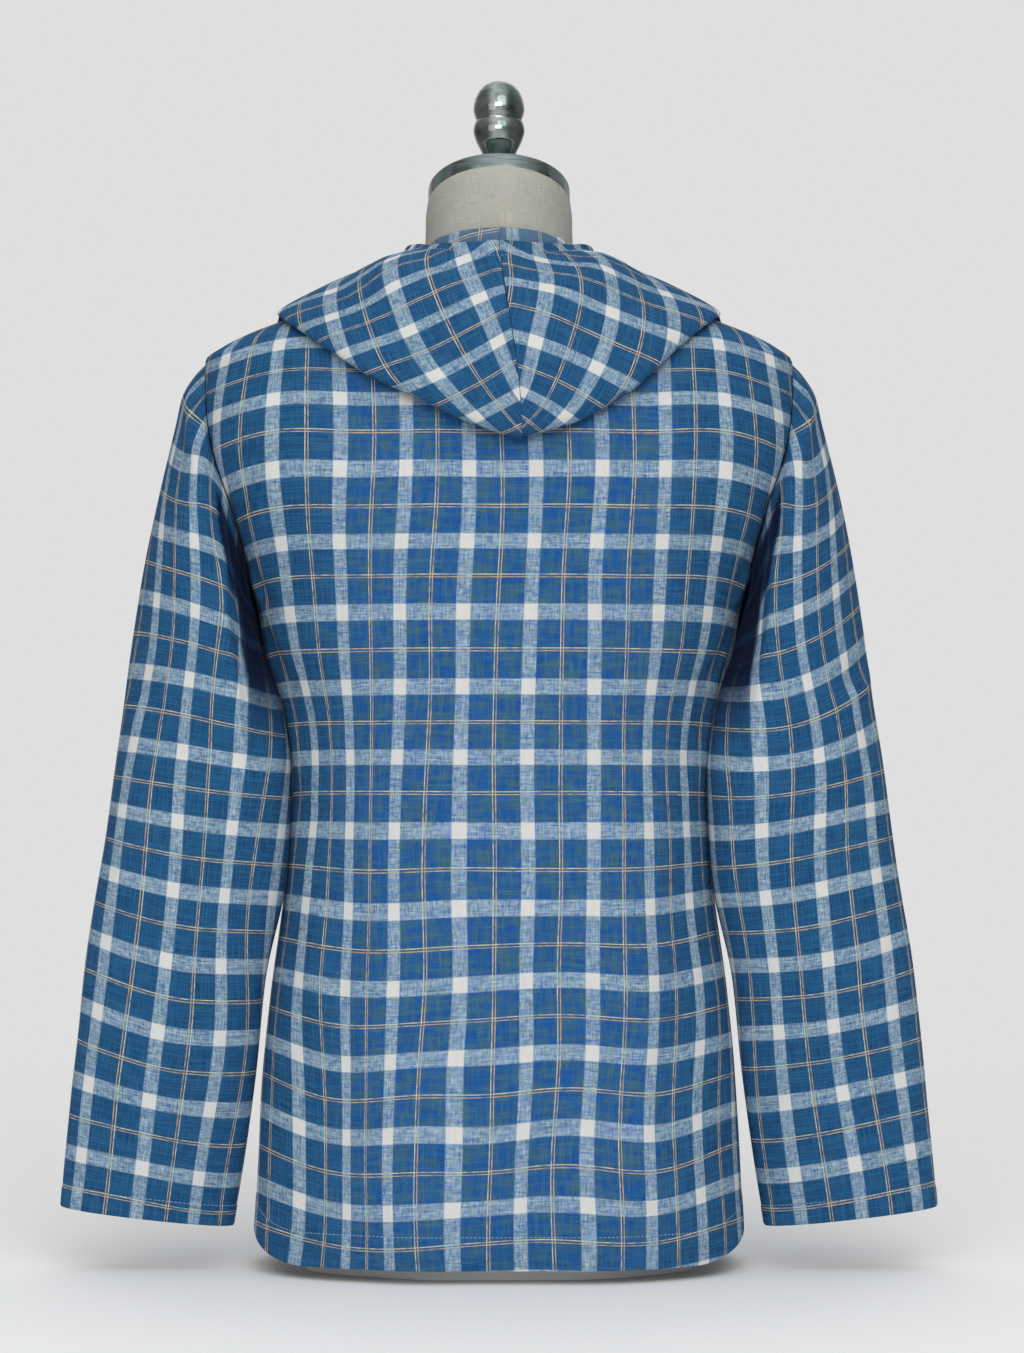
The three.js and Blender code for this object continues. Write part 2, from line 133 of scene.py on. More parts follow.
# Oval sections of a sleeve, from the armhole down: their outermost and innermost points, half depths,
# middles and squareness.
SLEEVE = table("at outX outZ inX inZ deep midY square", [
    [1, 246, 674, 190.2, 514, 66, 0, 2],
    [2, 256, 634, 187.6, 504, 72, 1, 2.05],
    [3, 266, 588, 184.2, 490, 73, 4, 2.1],
    [4, 277, 527, 179.4, 470, 69, 10, 2.15],
    [5, 286, 462, 168.9, 440, 61, 18, 2.2],
    [5.35, 289, 438, 164.6, 420, 57, 21.5, 2.24],
    [6, 295, 392, 159.9, 381, 50, 28, 2.3],
    [7, 303.5, 322, 162.6, 307, 43, 31, 2.35],
    [8, 318, 236, 179.5, 221, 38, 28, 2.35],
    [9, 326, 166, 187, 150, 35, 23, 2.3],
    [10, 333, 100, 196, 84, 32, 18, 2.25],
    [11, 338, 47, 204.5, 32, 31, 15, 2.2],
])
# Heights of the hood's neck seam, crest, fold and face edge by azimuth, and how far it swells out.
HOOD = table("azimuth neck crest fold edge puff", [
    [0, 766, 794, 637, 785, 32],
    [20, 766.5, 793, 654, 782, 32],
    [40, 768, 790, 674, 783, 29],
    [55, 770, 788, 696, 787, 24],
    [72, 771.5, 786, 722, 789, 18],
    [90, 772, 785, 732, 789, 15],
    [110, 768.5, 782, 716, 785, 14],
    [130, 757, 771, 704, 769, 13],
    [155, 736, 752, 706, 744, 12],
    [180, 725, 740, 713, 727, 11],
])
# Soft folds that run up from the hem to that height.
FOLDS = table("azimuth high wide deep", [
    [26, 330, 9, 4],
    [-34, 260, 10, 3.4],
    [54, 420, 9, -3],
    [-62, 380, 8, -2.6],
    [148, 360, 8, 4],
    [-142, 300, 9, 3.6],
    [122, 420, 9, -3],
    [-116, 340, 9, -2.6],
])
# Outline of the finial: radius and height.
FINIAL = [
    (0.01, 0), (14.5, 0), (14.5, 8.5), (11.4, 13), (10.2, 20), (11.4, 28), (14.4, 34.5), (17.9, 41),
    (20, 47.5), (20.2, 50.5), (19.7, 54), (18.7, 57), (18.1, 57.6), (18.3, 59.5), (19.6, 63),
    (20.3, 66.5), (19.9, 70.5), (18.6, 75.5), (16.3, 80.5), (12.6, 85), (7.4, 88), (0.01, 89),
]


def creases(rows):
    return table("from_a from_u to_a to_u wide high bow", rows)


def shades(rows):
    return table("from_a from_u to_a to_u wide dark", rows)


def bands(rows):
    return table("x z column row", rows)


def crossings(columns, rows, sag=(0, 0)):
    """A table of places from rows of: the weft band's number, its height, and x at each warp band. The
    lowest bands sag by another height at each warp band, as the cloth does between its soft folds."""
    places = []
    for number, height, *across in rows:
        low = min(max((-2 - number) / 2, 0), 1)
        places += [[x, height + low * dip, column, number] for column, x, dip in zip(columns, across, sag)]
    return bands(places)


def joined(first, second):
    return {key: np.concatenate([first[key], second[key]]) for key in first}


# The cloth's creases and soft swells: each runs along a line on the piece, from one place to another,
# bowed to one side at its middle. Places are (across, up) on the piece, but down from its head on a
# sleeve, whose girth counts as SLEEVE_GIRTH all along; high is below zero in a trough.
CREASES = {
    "back": creases([
        [100, 40, 84, 330, 15, 3.5, -6],
        [62, 20, 66, 250, 16, -2.2, 5],
        [-98, 30, -104, 300, 17, 2.5, 8],
        [-52, 10, -40, 190, 18, 1.7, -4],
        [12, 0, 20, 160, 20, 1.6, 6],
        [200, 410, 224, 505, 5, 3.2, -3],
        [150, 352, 206, 470, 13, 2.9, -8],
        [214, 512, 166, 440, 9, -2.6, 7],
        [232, 560, 198, 500, 6, 2.6, 4],
        [218, 556, 180, 500, 8, -1.6, 5],
        [-200, 410, -226, 500, 5, 3.2, 3],
        [-146, 350, -206, 466, 13, 2.9, 8],
        [-214, 506, -162, 436, 9, -2.8, -7],
        [-233, 556, -200, 506, 6, 2.6, -4],
        [-220, 556, -184, 496, 8, -1.5, -5],
        [205, 560, 160, 640, 13, 2.2, 6],
        [-205, 560, -164, 648, 13, 2, -6],
        [150, 330, 120, 120, 14, 2.3, 4],
        [-150, 318, -128, 100, 14, -2, -4],
        [60, 420, -40, 396, 16, 1.3, -8],
        [-70, 350, 30, 366, 16, -1.2, 7],
        [110, 640, 40, 600, 22, 1.4, 6],
        [-120, 634, -50, 604, 22, 1.4, -6],
    ]),
    "front": creases([
        [196, 470, 110, 350, 12, 2.3, -8],
        [196, 520, 120, 430, 11, -1.9, -8],
        [120, 30, 130, 300, 16, 2.0, 6],
        [70, 10, 76, 210, 16, -1.4, -5],
        [170, 330, 150, 110, 15, 1.5, 5],
        [190, 580, 120, 650, 14, 1.3, -6],
        [90, 640, 60, 480, 20, 1.1, 7],
    ]),
    "sleeve_left": creases([
        [132, 16, 150, 252, 7, 4.6, 5],
        [172, 20, 172, 190, 12, -3.6, 0],
        [20, 5, 84, 30, 4, 2.0, 3],
        [30, 20, 78, 52, 7, -1.6, 3],
        [100, 40, 60, 150, 13, 1.6, -7],
        [128, 150, 70, 300, 13, -1.7, -10],
        [140, 270, 120, 520, 13, 1.7, 6],
        [30, 130, 56, 420, 17, 1.5, -8],
        [20, 176, 96, 190, 8, -1.3, 4],
        [110, 330, 58, 400, 12, 1.2, 8],
        [60, 470, 110, 420, 12, -1.2, -6],
        [80, 600, 70, 470, 13, 1.0, 4],
        [-140, 20, -150, 230, 9, 3.0, -5],
        [-172, 30, -172, 190, 12, -2.6, 0],
        [-60, 100, -70, 330, 16, 1.8, 8],
        [-130, 250, -60, 330, 12, 1.8, -7],
        [-60, 380, -120, 330, 12, -1.6, 7],
        [-120, 120, -100, 420, 15, -1.4, 8],
        [-30, 430, -60, 590, 14, 1.3, 5],
    ]),
    "sleeve_right": creases([
        [132, 16, 152, 240, 7, 4.4, 5],
        [174, 20, 173, 184, 12, -3.6, 0],
        [20, 6, 88, 26, 4, 2.2, 3],
        [28, 22, 80, 50, 7, -1.6, 3],
        [14, 150, 96, 176, 8, -2.0, 5],
        [10, 166, 90, 196, 7, 1.6, 4],
        [112, 40, 70, 140, 13, 1.5, -7],
        [130, 180, 84, 320, 13, -1.6, -9],
        [136, 300, 118, 540, 13, 1.6, 6],
        [36, 230, 60, 470, 16, 1.6, -8],
        [104, 370, 50, 420, 12, 1.3, 7],
        [66, 500, 112, 460, 12, -1.2, -6],
        [84, 620, 76, 480, 13, 1.0, 4],
        [-138, 20, -150, 226, 9, 3.0, -5],
        [-172, 30, -172, 190, 12, -2.6, 0],
        [-56, 110, -72, 300, 16, 1.7, 8],
        [-126, 270, -64, 340, 12, 1.7, -7],
        [-66, 400, -118, 350, 12, -1.6, 7],
        [-116, 130, -98, 400, 15, -1.4, 8],
        [-36, 440, -64, 600, 14, 1.3, 5],
    ]),
    "hood_left": creases([
        [150, 770, 20, 700, 12, 2.2, 8],
        [110, 790, 8, 740, 10, -1.6, 6],
        [60, 660, 10, 690, 12, 1.2, -5],
        [190, 760, 120, 716, 12, -1.3, 5],
    ]),
    "hood_right": creases([
        [150, 772, 14, 712, 13, 2.0, -8],
        [120, 790, 6, 752, 10, -1.6, -6],
        [70, 668, 0, 700, 12, 1.4, 6],
        [186, 764, 110, 722, 12, -1.3, -5],
    ]),
}

# Painted shade in the deep folds under the arms: each runs along a line, as the creases do.
SHADES = {
    "back": shades([
        [236, 600, 222, 430, 14, 0.75],
    ]),
    "sleeve": shades([
        [183, -8, 184, 226, 34, 1],
        [140, 10, 190, 90, 34, 1],
    ]),
}

# Where white bands cross, read off: x and height on the shirt in millimetres, the warp band's
# number from the middle, and the weft band's number up from the waist or from the sleeve's top. The
# sleeves and hoods have a line for each warp band.
CROSSINGS = {
    "back": joined(crossings((3.5, 2.5, 1.5, 0.5, -0.5, -1.5, -2.5, -3.5), [
        [5, 706, 167, 121, 72, 24, -26, -76, -125, -167],
        [4, 662, 171, 120, 71, 23, -27, -77, -125, -170],
        [3, 608, 169, 119, 70, 22, -28, -78, -125, -169],
        [2, 553, 164, 120, 73, 25, -26, -73, -123, -164],
        [1, 499, 158, 118, 74, 27, -24, -71, -120, -158],
        [0, 443, 147, 114, 74, 28, -22, -71, -115, -147],
        [-1, 391, 139, 113, 76, 29, -21, -71, -113, -139],
        [-2, 337, 142, 113, 78, 30, -21, -71, -113, -143],
        [-3, 279, 146, 113, 79, 30, -22, -70, -114, -145],
        [-4, 223, 152, 115, 79, 28, -20, -70, -116, -151],
        [-5, 168, 153, 114, 81, 32, -20, -70, -114, -152],
        [-6, 113, 150, 114, 83, 33, -18, -66, -112, -149],
        [-7, 57, 150, 113, 84, 33, -15, -67, -113, -152],
    ], (1, -6, -4.5, -2, 1.5, 2, -1.5, 4.5)), crossings((4.5, -4.5), [
        [5, 695, 210, -208],
        [4, 652, 216, -213],
        [3, 598, 210, -210],
        [1, 497, 185, -184],
    ])),
    "sleeve_left": bands([
        [245, 619, 1, 0], [246, 560, 1, -1], [245, 508, 1, -2], [251, 454, 1, -3],
        [222, 611, 2, 0], [217, 551, 2, -1], [212, 496, 2, -2],
        [232, 614, 1.5, 0], [232, 556, 1.5, -1], [232, 503, 1.5, -2], [236, 451, 1.5, -3],
        [240, 396, 1.5, -4], [247, 290, 1.5, -6], [259, 183, 1.5, -8], [272, 79, 1.5, -10],
        [196, 441, 2.5, -3], [198, 389, 2.5, -4], [209, 287, 2.5, -6], [212, 178, 2.5, -8],
        [229, 71, 2.5, -10],
        [293, 303, 0.5, -6], [306, 199, 0.5, -8], [320, 88, 0.5, -10],
    ]),
    "sleeve_right": bands([
        [-243, 614, 1, 0], [-242, 559, 1, -1], [-242, 510, 1, -2], [-248, 457, 1, -3],
        [-217, 609, 2, 0], [-213, 553, 2, -1], [-212, 496, 2, -2],
        [-228, 611, 1.5, 0], [-228, 554, 1.5, -1], [-236, 448, 1.5, -3], [-242, 343, 1.5, -5],
        [-249, 239, 1.5, -7], [-271, 82, 1.5, -10],
        [-196, 441, 2.5, -3], [-200, 336, 2.5, -5], [-209, 234, 2.5, -7], [-218, 129, 2.5, -9],
        [-226, 73, 2.5, -10],
        [-294, 250, 0.5, -7], [-306, 146, 0.5, -9], [-315, 90, 0.5, -10],
    ]),
    "hood_left": bands([
        [26, 769, 1, 0.5], [15, 735, 1, -0.5], [0, 702, 1, -1.5], [-16, 660, 1, -2.5],
        [79, 745, 2, 0.5], [67, 711, 2, -0.5], [48, 673, 2, -1.5], [17, 646, 2, -2.5],
        [127, 726, 3, 0.5], [116, 696, 3, -0.5],
    ]),
    "hood_right": bands([
        [-31, 769, -1, 0.5], [-37, 743, -1, -0.5], [-26, 700, -1, -1.5], [-19, 662, -1, -2.5],
        [-84, 759, -2, 0.5], [-84, 724, -2, -0.5], [-73, 680, -2, -1.5], [-48, 645, -2, -2.5],
        [-128, 745, -3, 0.5], [-132, 710, -3, -0.5],
    ]),
}


def smoothstep(x, low, high):
    t = np.clip((x - low) / (high - low), 0, 1)
    return t * t * (3 - 2 * t)


def bell(x):
    return np.where(np.abs(x) < 1, (1 - np.minimum(x * x, 1)) ** 2, 0)


def smooth(x, y, at):
    """A curve through the rows of y at x that never overshoots them, read at each place in at."""
    shape = (-1,) + (1,) * (y.ndim - 1)
    rise = np.diff(y, axis=0) / np.diff(x).reshape(shape)
    both = rise[:-1] * rise[1:]
    total = np.where(both > 0, rise[:-1] + rise[1:], 1)
    inner = np.where(both > 0, 2 * both / total, 0)
    slope = np.concatenate([rise[:1], inner, rise[-1:]])
    at = np.clip(at, x[0], x[-1])
    i = np.clip(np.searchsorted(x, at) - 1, 0, len(x) - 2)
    wide = x[i + 1] - x[i]
    t = (at - x[i]) / wide
    if y.ndim > 1:
        wide, t = wide.reshape(shape), t.reshape(shape)
    ease = t * t * (3 - 2 * t)
    start = t * (1 - t) ** 2 * wide * slope[i]
    end = t * t * (t - 1) * wide * slope[i + 1]
    return y[i] * (1 - ease) + y[i + 1] * ease + start + end


def read(rows, key, at):
    """The other columns of a table as curves, read at the given places of its key column."""
    return {name: smooth(rows[key], rows[name], at) for name in rows if name != key}


def distances(points, axis=0):
    """From each point to the next."""
    return np.linalg.norm(np.diff(points, axis=axis), axis=-1)


def running(lengths, axis=0):
    """Running totals of lengths, from zero."""
    total = np.cumsum(lengths, axis)
    return np.concatenate([0 * total.take([0], axis), total], axis)


def sin_cos(degrees):
    return np.sin(np.radians(degrees)), np.cos(np.radians(degrees))


def fold_at(azimuth, z):
    total = 0
    for middle, high, wide, deep in zip(*FOLDS.values()):
        across = (azimuth - middle + 540) % 360 - 180
        total = total + deep * (1 - smoothstep(z, 0.35 * high, high)) * bell(across / (2 * wide))
    return total


def surface(azimuth, z):
    """Points of the shirt's outer surface at azimuths, where 0 is the centre back."""
    azimuth, z = np.broadcast_arrays(azimuth, np.asarray(z, float))
    section = read(BODY, "z", z)
    sin, cos = sin_cos(azimuth)
    depth = np.where(cos > 0, section["back"], section["front"])
    n = section["square"]
    reach = (np.abs(sin / section["half"]) ** n + np.abs(cos / depth) ** n) ** (-1 / n)
    radius = reach + fold_at(azimuth, z)
    return np.stack([radius * sin, radius * cos, z], -1)


def unit(vectors):
    return vectors / np.maximum(np.linalg.norm(vectors, axis=-1, keepdims=True), 1e-9)


def offset(azimuth, z, out):
    """The same points moved out along the surface's normals."""
    azimuth, z, out = np.broadcast_arrays(azimuth, np.asarray(z, float), out)
    turn = surface(azimuth + 0.5, z) - surface(azimuth - 0.5, z)
    rise = surface(azimuth, z + 0.5) - surface(azimuth, z - 0.5)
    return surface(azimuth, z) + unit(np.cross(rise, turn)) * out[..., None]


def spaced(length, fine=(1, 1), extra=()):
    """Places from 0 to length: even, but closer together at the ends marked fine and near extra."""
    edge = np.array([0, 0.4, 1, 1.8, 2.8, 4.2, 6])
    low = edge if fine[0] else np.zeros(1)
    high = length - edge if fine[1] else np.full(1, length)
    between = max(1, round((high.min() - low.max()) / STEP))
    even = np.linspace(low.max(), high.min(), between + 1)
    near = [place + d for place in extra for d in (-1.6, -0.7, 0, 0.7, 1.6)]
    even = even[[all(abs(value - place) > 2.2 for place in extra) for value in even]]
    return np.unique(np.round(np.concatenate([low, even, high, near]), 4))


def panel_places(face, side, shares, lap=0):
    """A function from heights and a column of shares to azimuths on one half of the back (face 1) or
    on a front (face -1), and one to that half panel's width. A share of -lap/width is past the centre."""
    spacing = 0.5
    heights = np.arange(0, 776, spacing)
    steps = 120
    start = 0 if face > 0 else 180
    turns = start + face * 90 * np.arange(steps + 1) / steps
    points = surface(side * turns[None, :], heights[:, None])
    arcs = running(distances(points, 1), 1)
    rise = (heights - ARMHOLE["middle"]) / ARMHOLE["rise"]
    opening = np.sqrt(np.clip(1 - rise * rise, 0, 1))
    edge = np.maximum(SEAM / 2, opening * ARMHOLE["back" if face > 0 else "front"])
    depth = face * points[..., 1]
    last = np.argmax(depth < edge[:, None], axis=1)
    row = np.arange(len(heights))
    part = (depth[row, last - 1] - edge) / (depth[row, last - 1] - depth[row, last])
    width = arcs[row, last - 1] + part * (arcs[row, last] - arcs[row, last - 1])
    places = shares[None, :] * (width[:, None] + lap) - lap
    azimuths = np.array([np.interp(p, a, turns) for p, a in zip(places, arcs)])
    past = np.minimum(places, 0) / arcs[:, 1:2] * face * 90 / steps
    azimuths = side * (azimuths + past)

    def at(z, columns):
        place = np.clip(z / spacing, 0, len(heights) - 1.001)
        low = place.astype(int)
        return azimuths[low, columns] * (1 - place + low) + azimuths[low + 1, columns] * (place - low)

    def width_at(z):
        return np.interp(z, heights, width)

    return at, width_at


def body_rows():
    """Row heights of the body panels: graded at the hem, the armhole's ends and the neck."""
    low, high = ARMHOLE["middle"] - ARMHOLE["rise"], ARMHOLE["middle"] + ARMHOLE["rise"]
    below = spaced(low, fine=(1, 0), extra=(TURNING["hem"],))
    turns = round(math.pi * ARMHOLE["rise"] / STEP)
    beside = ARMHOLE["middle"] - ARMHOLE["rise"] * np.cos(np.linspace(0, math.pi, turns))
    above = high + spaced(772 - high, fine=(0, 1))
    return np.concatenate([below[:-1], beside[:-1], above])


def panel_height(z, share, face):
    hem = HEM["low"] + (HEM["high"] - HEM["low"]) * smoothstep(share, HEM["flat"], 1)
    low = z + hem * (1 - smoothstep(z, 0, 420))
    drop = NECK_DROP["back" if face > 0 else "front"]
    inward = np.maximum(1 - share, 0)
    return low - drop * inward**0.8 * (1 + share) * smoothstep(z, 560, 772)


def rise_along(z, face):
    """How far up the cloth a height lies, along the middle of the back or front."""
    heights = np.arange(0, 777, 1.0)
    depth = smooth(BODY["z"], BODY["back" if face > 0 else "front"], heights)
    along = running(np.hypot(np.diff(heights), np.diff(depth)))
    return np.interp(z, heights, along)


def half_panel(face, side, shares, lap=0):
    at, width_at = panel_places(face, side, shares, lap)
    rows, share = np.broadcast_arrays(body_rows()[:, None], shares[None, :])
    z = panel_height(rows, share, face)
    columns = np.broadcast_to(np.arange(len(shares)), z.shape)
    azimuth = at(z, columns)
    width = width_at(z)
    across = share * (width + lap) - lap
    return {"z": z, "azimuth": azimuth, "across": across, "edge": width - across}


def crease_height(across, up, rows):
    total = np.zeros(np.shape(across))
    for from_a, from_u, to_a, to_u, wide, high, bow in zip(*rows.values()):
        long_a, long_u = to_a - from_a, to_u - from_u
        length = math.hypot(long_a, long_u)
        t = ((across - from_a) * long_a + (up - from_u) * long_u) / length**2
        aside = ((up - from_u) * long_a - (across - from_a) * long_u) / length
        aside = aside - 4 * bow * np.clip(t, 0, 1) * (1 - np.clip(t, 0, 1))
        run = np.where((t > 0) & (t < 1), np.sin(math.pi * np.clip(t, 0, 1)) ** 0.8, 0)
        flank = np.where(aside > 0, 1.35, 0.8)  # a crease is gentler on one side than on the other
        total += high * run * np.exp(-((aside / wide / flank) ** 2))
    return total


# Painted shade: how far the cloth's colour is darkened at each place, along the lines of the underarm folds.
def fold_shade(across, up, rows):
    total = np.zeros(np.shape(across))
    for from_a, from_u, to_a, to_u, wide, dark in zip(*rows.values()):
        t = np.clip((up - from_u) / (to_u - from_u), 0, 1)
        aside = np.abs(np.abs(across) - from_a - t * (to_a - from_a)) / wide
        end = smoothstep(t, 0, 0.08) * (1 - smoothstep(t, 0.64, 1))
        total = np.maximum(total, dark * end * (1 - smoothstep(aside, 0.86, 1.02)))
    return total


def swells(across, up, phase):
    """Soft unevenness of the hanging cloth, under a millimetre deep. phase makes one piece's unlike
    another's."""
    a = np.sin(across / 23 + phase) * np.sin(up / 41 + 1.7 * phase)
    b = np.sin(across / 37 - up / 29 + 2.3 * phase)
    c = np.sin(across / 11.3 + up / 47 + phase) * np.sin(up / 17 - across / 71)
    return 0.34 * a + 0.3 * b + 0.16 * c


def seam_dip(distance, deep=0.8, wide=2.2):
    return -deep * np.exp(-((distance / wide) ** 2))


def turning(distance, width, thick=0.45):
    """Relief of a turned edge of that width: fuller than the cloth, and nipped at its stitch line."""
    full = thick * (1 - smoothstep(distance, width - 0.4, width + 1.4))
    return full - 0.45 * np.exp(-(((distance - width) / 1.2) ** 2)) - 0.45 * np.exp(-((distance / 0.7) ** 2))


def grid_normals(points, split=False):
    """Unit normals of a grid of points, from its rows and columns. A split grid ends on the side and
    shoulder seams, in the plane y = 0, so its normals lie in that plane there."""
    normals = np.cross(np.gradient(points, axis=0), np.gradient(points, axis=1))
    if split:
        normals[..., 1] = np.where(np.abs(points[..., 1]) < 1, 0, normals[..., 1])
    return unit(normals)


def place_object(name, data, location=(0, 0, 0), rotation=(0, 0, 0)):
    thing = bpy.data.objects.new(name, data)
    thing.location, thing.rotation_euler = location, rotation
    bpy.context.scene.collection.objects.link(thing)
    return thing


def mesh_object(name, points, faces, materials, uv=None, second=None, sharp=35, **values):
    """An object from points in millimetres and faces of one size, with uv in metres at each corner, a
    second material where second is 1, and any other values given by point."""
    mesh = bpy.data.meshes.new(name)
    mesh.from_pydata((points * MM).tolist(), [], faces.tolist(), shade_flat=False)
    if uv is not None:
        layer = mesh.uv_layers.new(name="Cloth")
        layer.data.foreach_set("uv", uv.astype(np.float32).ravel())
    for key, value in values.items():
        layer = mesh.attributes.new(key.capitalize(), "FLOAT", "POINT")
        layer.data.foreach_set("value", value.astype(np.float32).ravel())
    for material in materials:
        mesh.materials.append(material)
    if second is not None:
        mesh.polygons.foreach_set("material_index", second.astype(np.int32))
    mesh.set_sharp_from_angle(angle=math.radians(sharp))
    mesh.validate()
    return place_object(name, mesh)


def grid_faces(rows, columns, closed=False):
    """The numbers of a grid's points, and its faces, each with the numbers of its four corners. A closed
    grid's last column meets its first."""
    point = np.arange(rows * columns).reshape(rows, columns)
    wide = np.concatenate([point, point[:, :1]], 1) if closed else point
    faces = np.stack([wide[:-1, :-1], wide[:-1, 1:], wide[1:, 1:], wide[1:, :-1]], -1)
    return point, faces.reshape(-1, 4)


def shell(name, outer, normals, thick, uv, tone, shade, materials):
    """A closed thin cloth from a grid of outer points, with its other face that much further in."""
    rows, columns = outer.shape[:2]
    base = rows * columns
    inner = outer - normals * thick
    point, front = grid_faces(rows, columns)
    loop = np.concatenate([point[0, :-1], point[:-1, -1], point[-1, :0:-1], point[:0:-1, 0]])
    after = np.roll(loop, -1)
    rim = np.stack([after, loop, loop + base, after + base], -1)
    faces = np.concatenate([front, front[:, ::-1] + base, rim])
    points = np.concatenate([outer.reshape(-1, 3), inner.reshape(-1, 3)])
    wrong_side = np.zeros(len(faces))
    wrong_side[len(front):2 * len(front)] = 1
    if signed_volume(points, faces) < 0:
        faces = faces[:, ::-1]
    uv = np.tile(uv.reshape(-1, 2), (2, 1))[faces]
    tone, shade = np.tile(tone.ravel(), 2), np.tile(shade.ravel(), 2)
    return mesh_object(name, points, faces, materials, uv, wrong_side, 50, tone=tone, shade=shade)


def signed_volume(points, faces):
    a = points[faces[:, 0]]
    total = 0
    for k in range(1, faces.shape[1] - 1):
        total += np.einsum("ij,ij->i", a, np.cross(points[faces[:, k]], points[faces[:, k + 1]])).sum()
    return total / 6


def with_ones(places):
    return np.concatenate([places, np.ones((len(places), 1))], 1)


def chart(grid, across, up, measured, seen, swapped=False, mirrored=False):
    """Cloth coordinates (metres) at each point of a piece, from its own across and up, bent so that the
    plaid's bands run through the crossings that were measured. seen marks the points on the side that
    was measured. On a swapped piece the warp runs across. On a mirrored piece the bands lie on its other
    side as they do on the side that was measured."""
    x, z, column, row = measured.values()
    look = np.where(seen, 0, 1e6)
    places = []
    for a, b in zip(x, z):
        nearest = np.argmin((grid[..., 0] - a) ** 2 + (grid[..., 2] - b) ** 2 + look)
        places.append([across.flat[nearest], up.flat[nearest]])
    places = np.array(places)
    wanted = np.stack([column * PLAID["across"], row * PLAID["down"]], -1)
    if swapped:
        wanted = np.stack([row * PLAID["across"], column * PLAID["down"]], -1)
    full = with_ones(places)
    plane = np.linalg.lstsq(full, wanted, rcond=None)[0]
    if mirrored:
        middle = (full * [0, 1, 1]) @ plane
        places = np.concatenate([places, places * [-1, 1]])
        wanted = np.concatenate([wanted, np.stack([2 * middle[:, 0] - wanted[:, 0], wanted[:, 1]], -1)])
        full = with_ones(places)
        plane = np.linalg.lstsq(full, wanted, rcond=None)[0]
    reach, slack = 80, 0.01

    def bend(at):
        return np.exp(-((at[:, None] - places[None]) ** 2).sum(-1) / reach**2)

    weights = np.linalg.solve(bend(places) + slack * np.eye(len(places)), wanted - full @ plane)
    flat = np.stack([across, up], -1).reshape(-1, 2)
    found = with_ones(flat) @ plane + bend(flat) @ weights
    return (found * MM).reshape(*grid.shape[:2], 2)


def srgb(red, green, blue):
    """A colour seen on a screen, from 0 to 255, as the linear colour that Blender uses."""
    part = np.array([red, green, blue]) / 255
    linear = np.where(part > 0.04045, ((part + 0.055) / 1.055) ** 2.4, part / 12.92)
    return (*(float(v) for v in linear), 1.0)


class Nodes:
    """A node tree, filled by small calls that take numbers, colours or the outputs of others."""

    def __init__(self, tree):
        self.tree = tree

    def put(self, value, socket):
        if isinstance(value, bpy.types.NodeSocket):
            self.tree.links.new(value, socket)
        else:
            socket.default_value = value

    def add(self, kind, *values, **settings):
        """A node with those settings, and with values for its first inputs."""
        node = self.tree.nodes.new(kind)
        for name, value in settings.items():
            setattr(node, name, value)
        for value, socket in zip(values, node.inputs):
            self.put(value, socket)
        return node

    def math(self, operation, *values, clamp=False):
        return self.add("ShaderNodeMath", *values, operation=operation, use_clamp=clamp).outputs[0]

    def mix(self, factor, first, second, blend="MIX"):
        node = self.add("ShaderNodeMix", factor, data_type="RGBA", blend_type=blend)
        self.put(first, node.inputs[6])
        self.put(second, node.inputs[7])
        return node.outputs[2]

    def fade(self, value, low, high, start=0.0, end=1.0):
        """start below low, end above high, and smooth between."""
        numbers = (value, low, high, start, end)
        return self.add("ShaderNodeMapRange", *numbers, interpolation_type="SMOOTHSTEP").outputs[0]

    def vector(self, x, y, z):
        return self.add("ShaderNodeCombineXYZ", x, y, z).outputs[0]

    def noise(self, vector, detail=1.0, scale=1.0, roughness=0.5):
        node = self.add("ShaderNodeTexNoise", vector)
        node.inputs["Scale"].default_value = scale
        node.inputs["Detail"].default_value = detail
        node.inputs["Roughness"].default_value = roughness
        return node.outputs["Fac"]

    def streak(self, u, v, wide, long, detail=1.0, seed=0.0):
        """Noise in streaks of that width across u and that length along v."""
        place = self.vector(self.math("DIVIDE", u, wide), self.math("DIVIDE", v, long), seed)
        return self.noise(place, detail)

    def weave(self, u, v, pitch):
        """Threads that pass over and under each other, from 1 to -1."""
        waves = [self.math("SINE", self.math("MULTIPLY", part, math.pi / pitch)) for part in (u, v)]
        return self.math("MULTIPLY", *waves)

    def split(self, vector):
        return self.add("ShaderNodeSeparateXYZ", vector).outputs[:3]


class Shader(Nodes):
    """A material with one Principled surface."""

    def __init__(self, name):
        self.material = bpy.data.materials.new(name)
        self.material.use_nodes = True
        super().__init__(self.material.node_tree)
        self.tree.nodes.clear()
        self.surface = self.add("ShaderNodeBsdfPrincipled")
        result = self.add("ShaderNodeOutputMaterial")
        self.tree.links.new(self.surface.outputs[0], result.inputs["Surface"])

    def place(self):
        """Where a point of the object lies, which is also where it lies in the frame, in metres."""
        return self.add("ShaderNodeTexCoord").outputs["Object"]

    def millimetres(self, vector):
        return [self.math("MULTIPLY", part, 1 / MM) for part in self.split(vector)]

    def attribute(self, name):
        return self.add("ShaderNodeAttribute", attribute_name=name).outputs["Fac"]

    def darker(self, colour, share):
        """A colour times a share of each of its red, green and blue."""
        return self.mix(1.0, colour, (*share, 1), "MULTIPLY")

    def bump(self, height, distance):
        node = self.add("ShaderNodeBump")
        node.inputs["Distance"].default_value = distance * MM
        self.put(height, node.inputs["Height"])
        self.tree.links.new(node.outputs[0], self.surface.inputs["Normal"])

    def set(self, **values):
        for name, value in values.items():
            self.put(value, self.surface.inputs[name.replace("_", " ")])
        return self.material


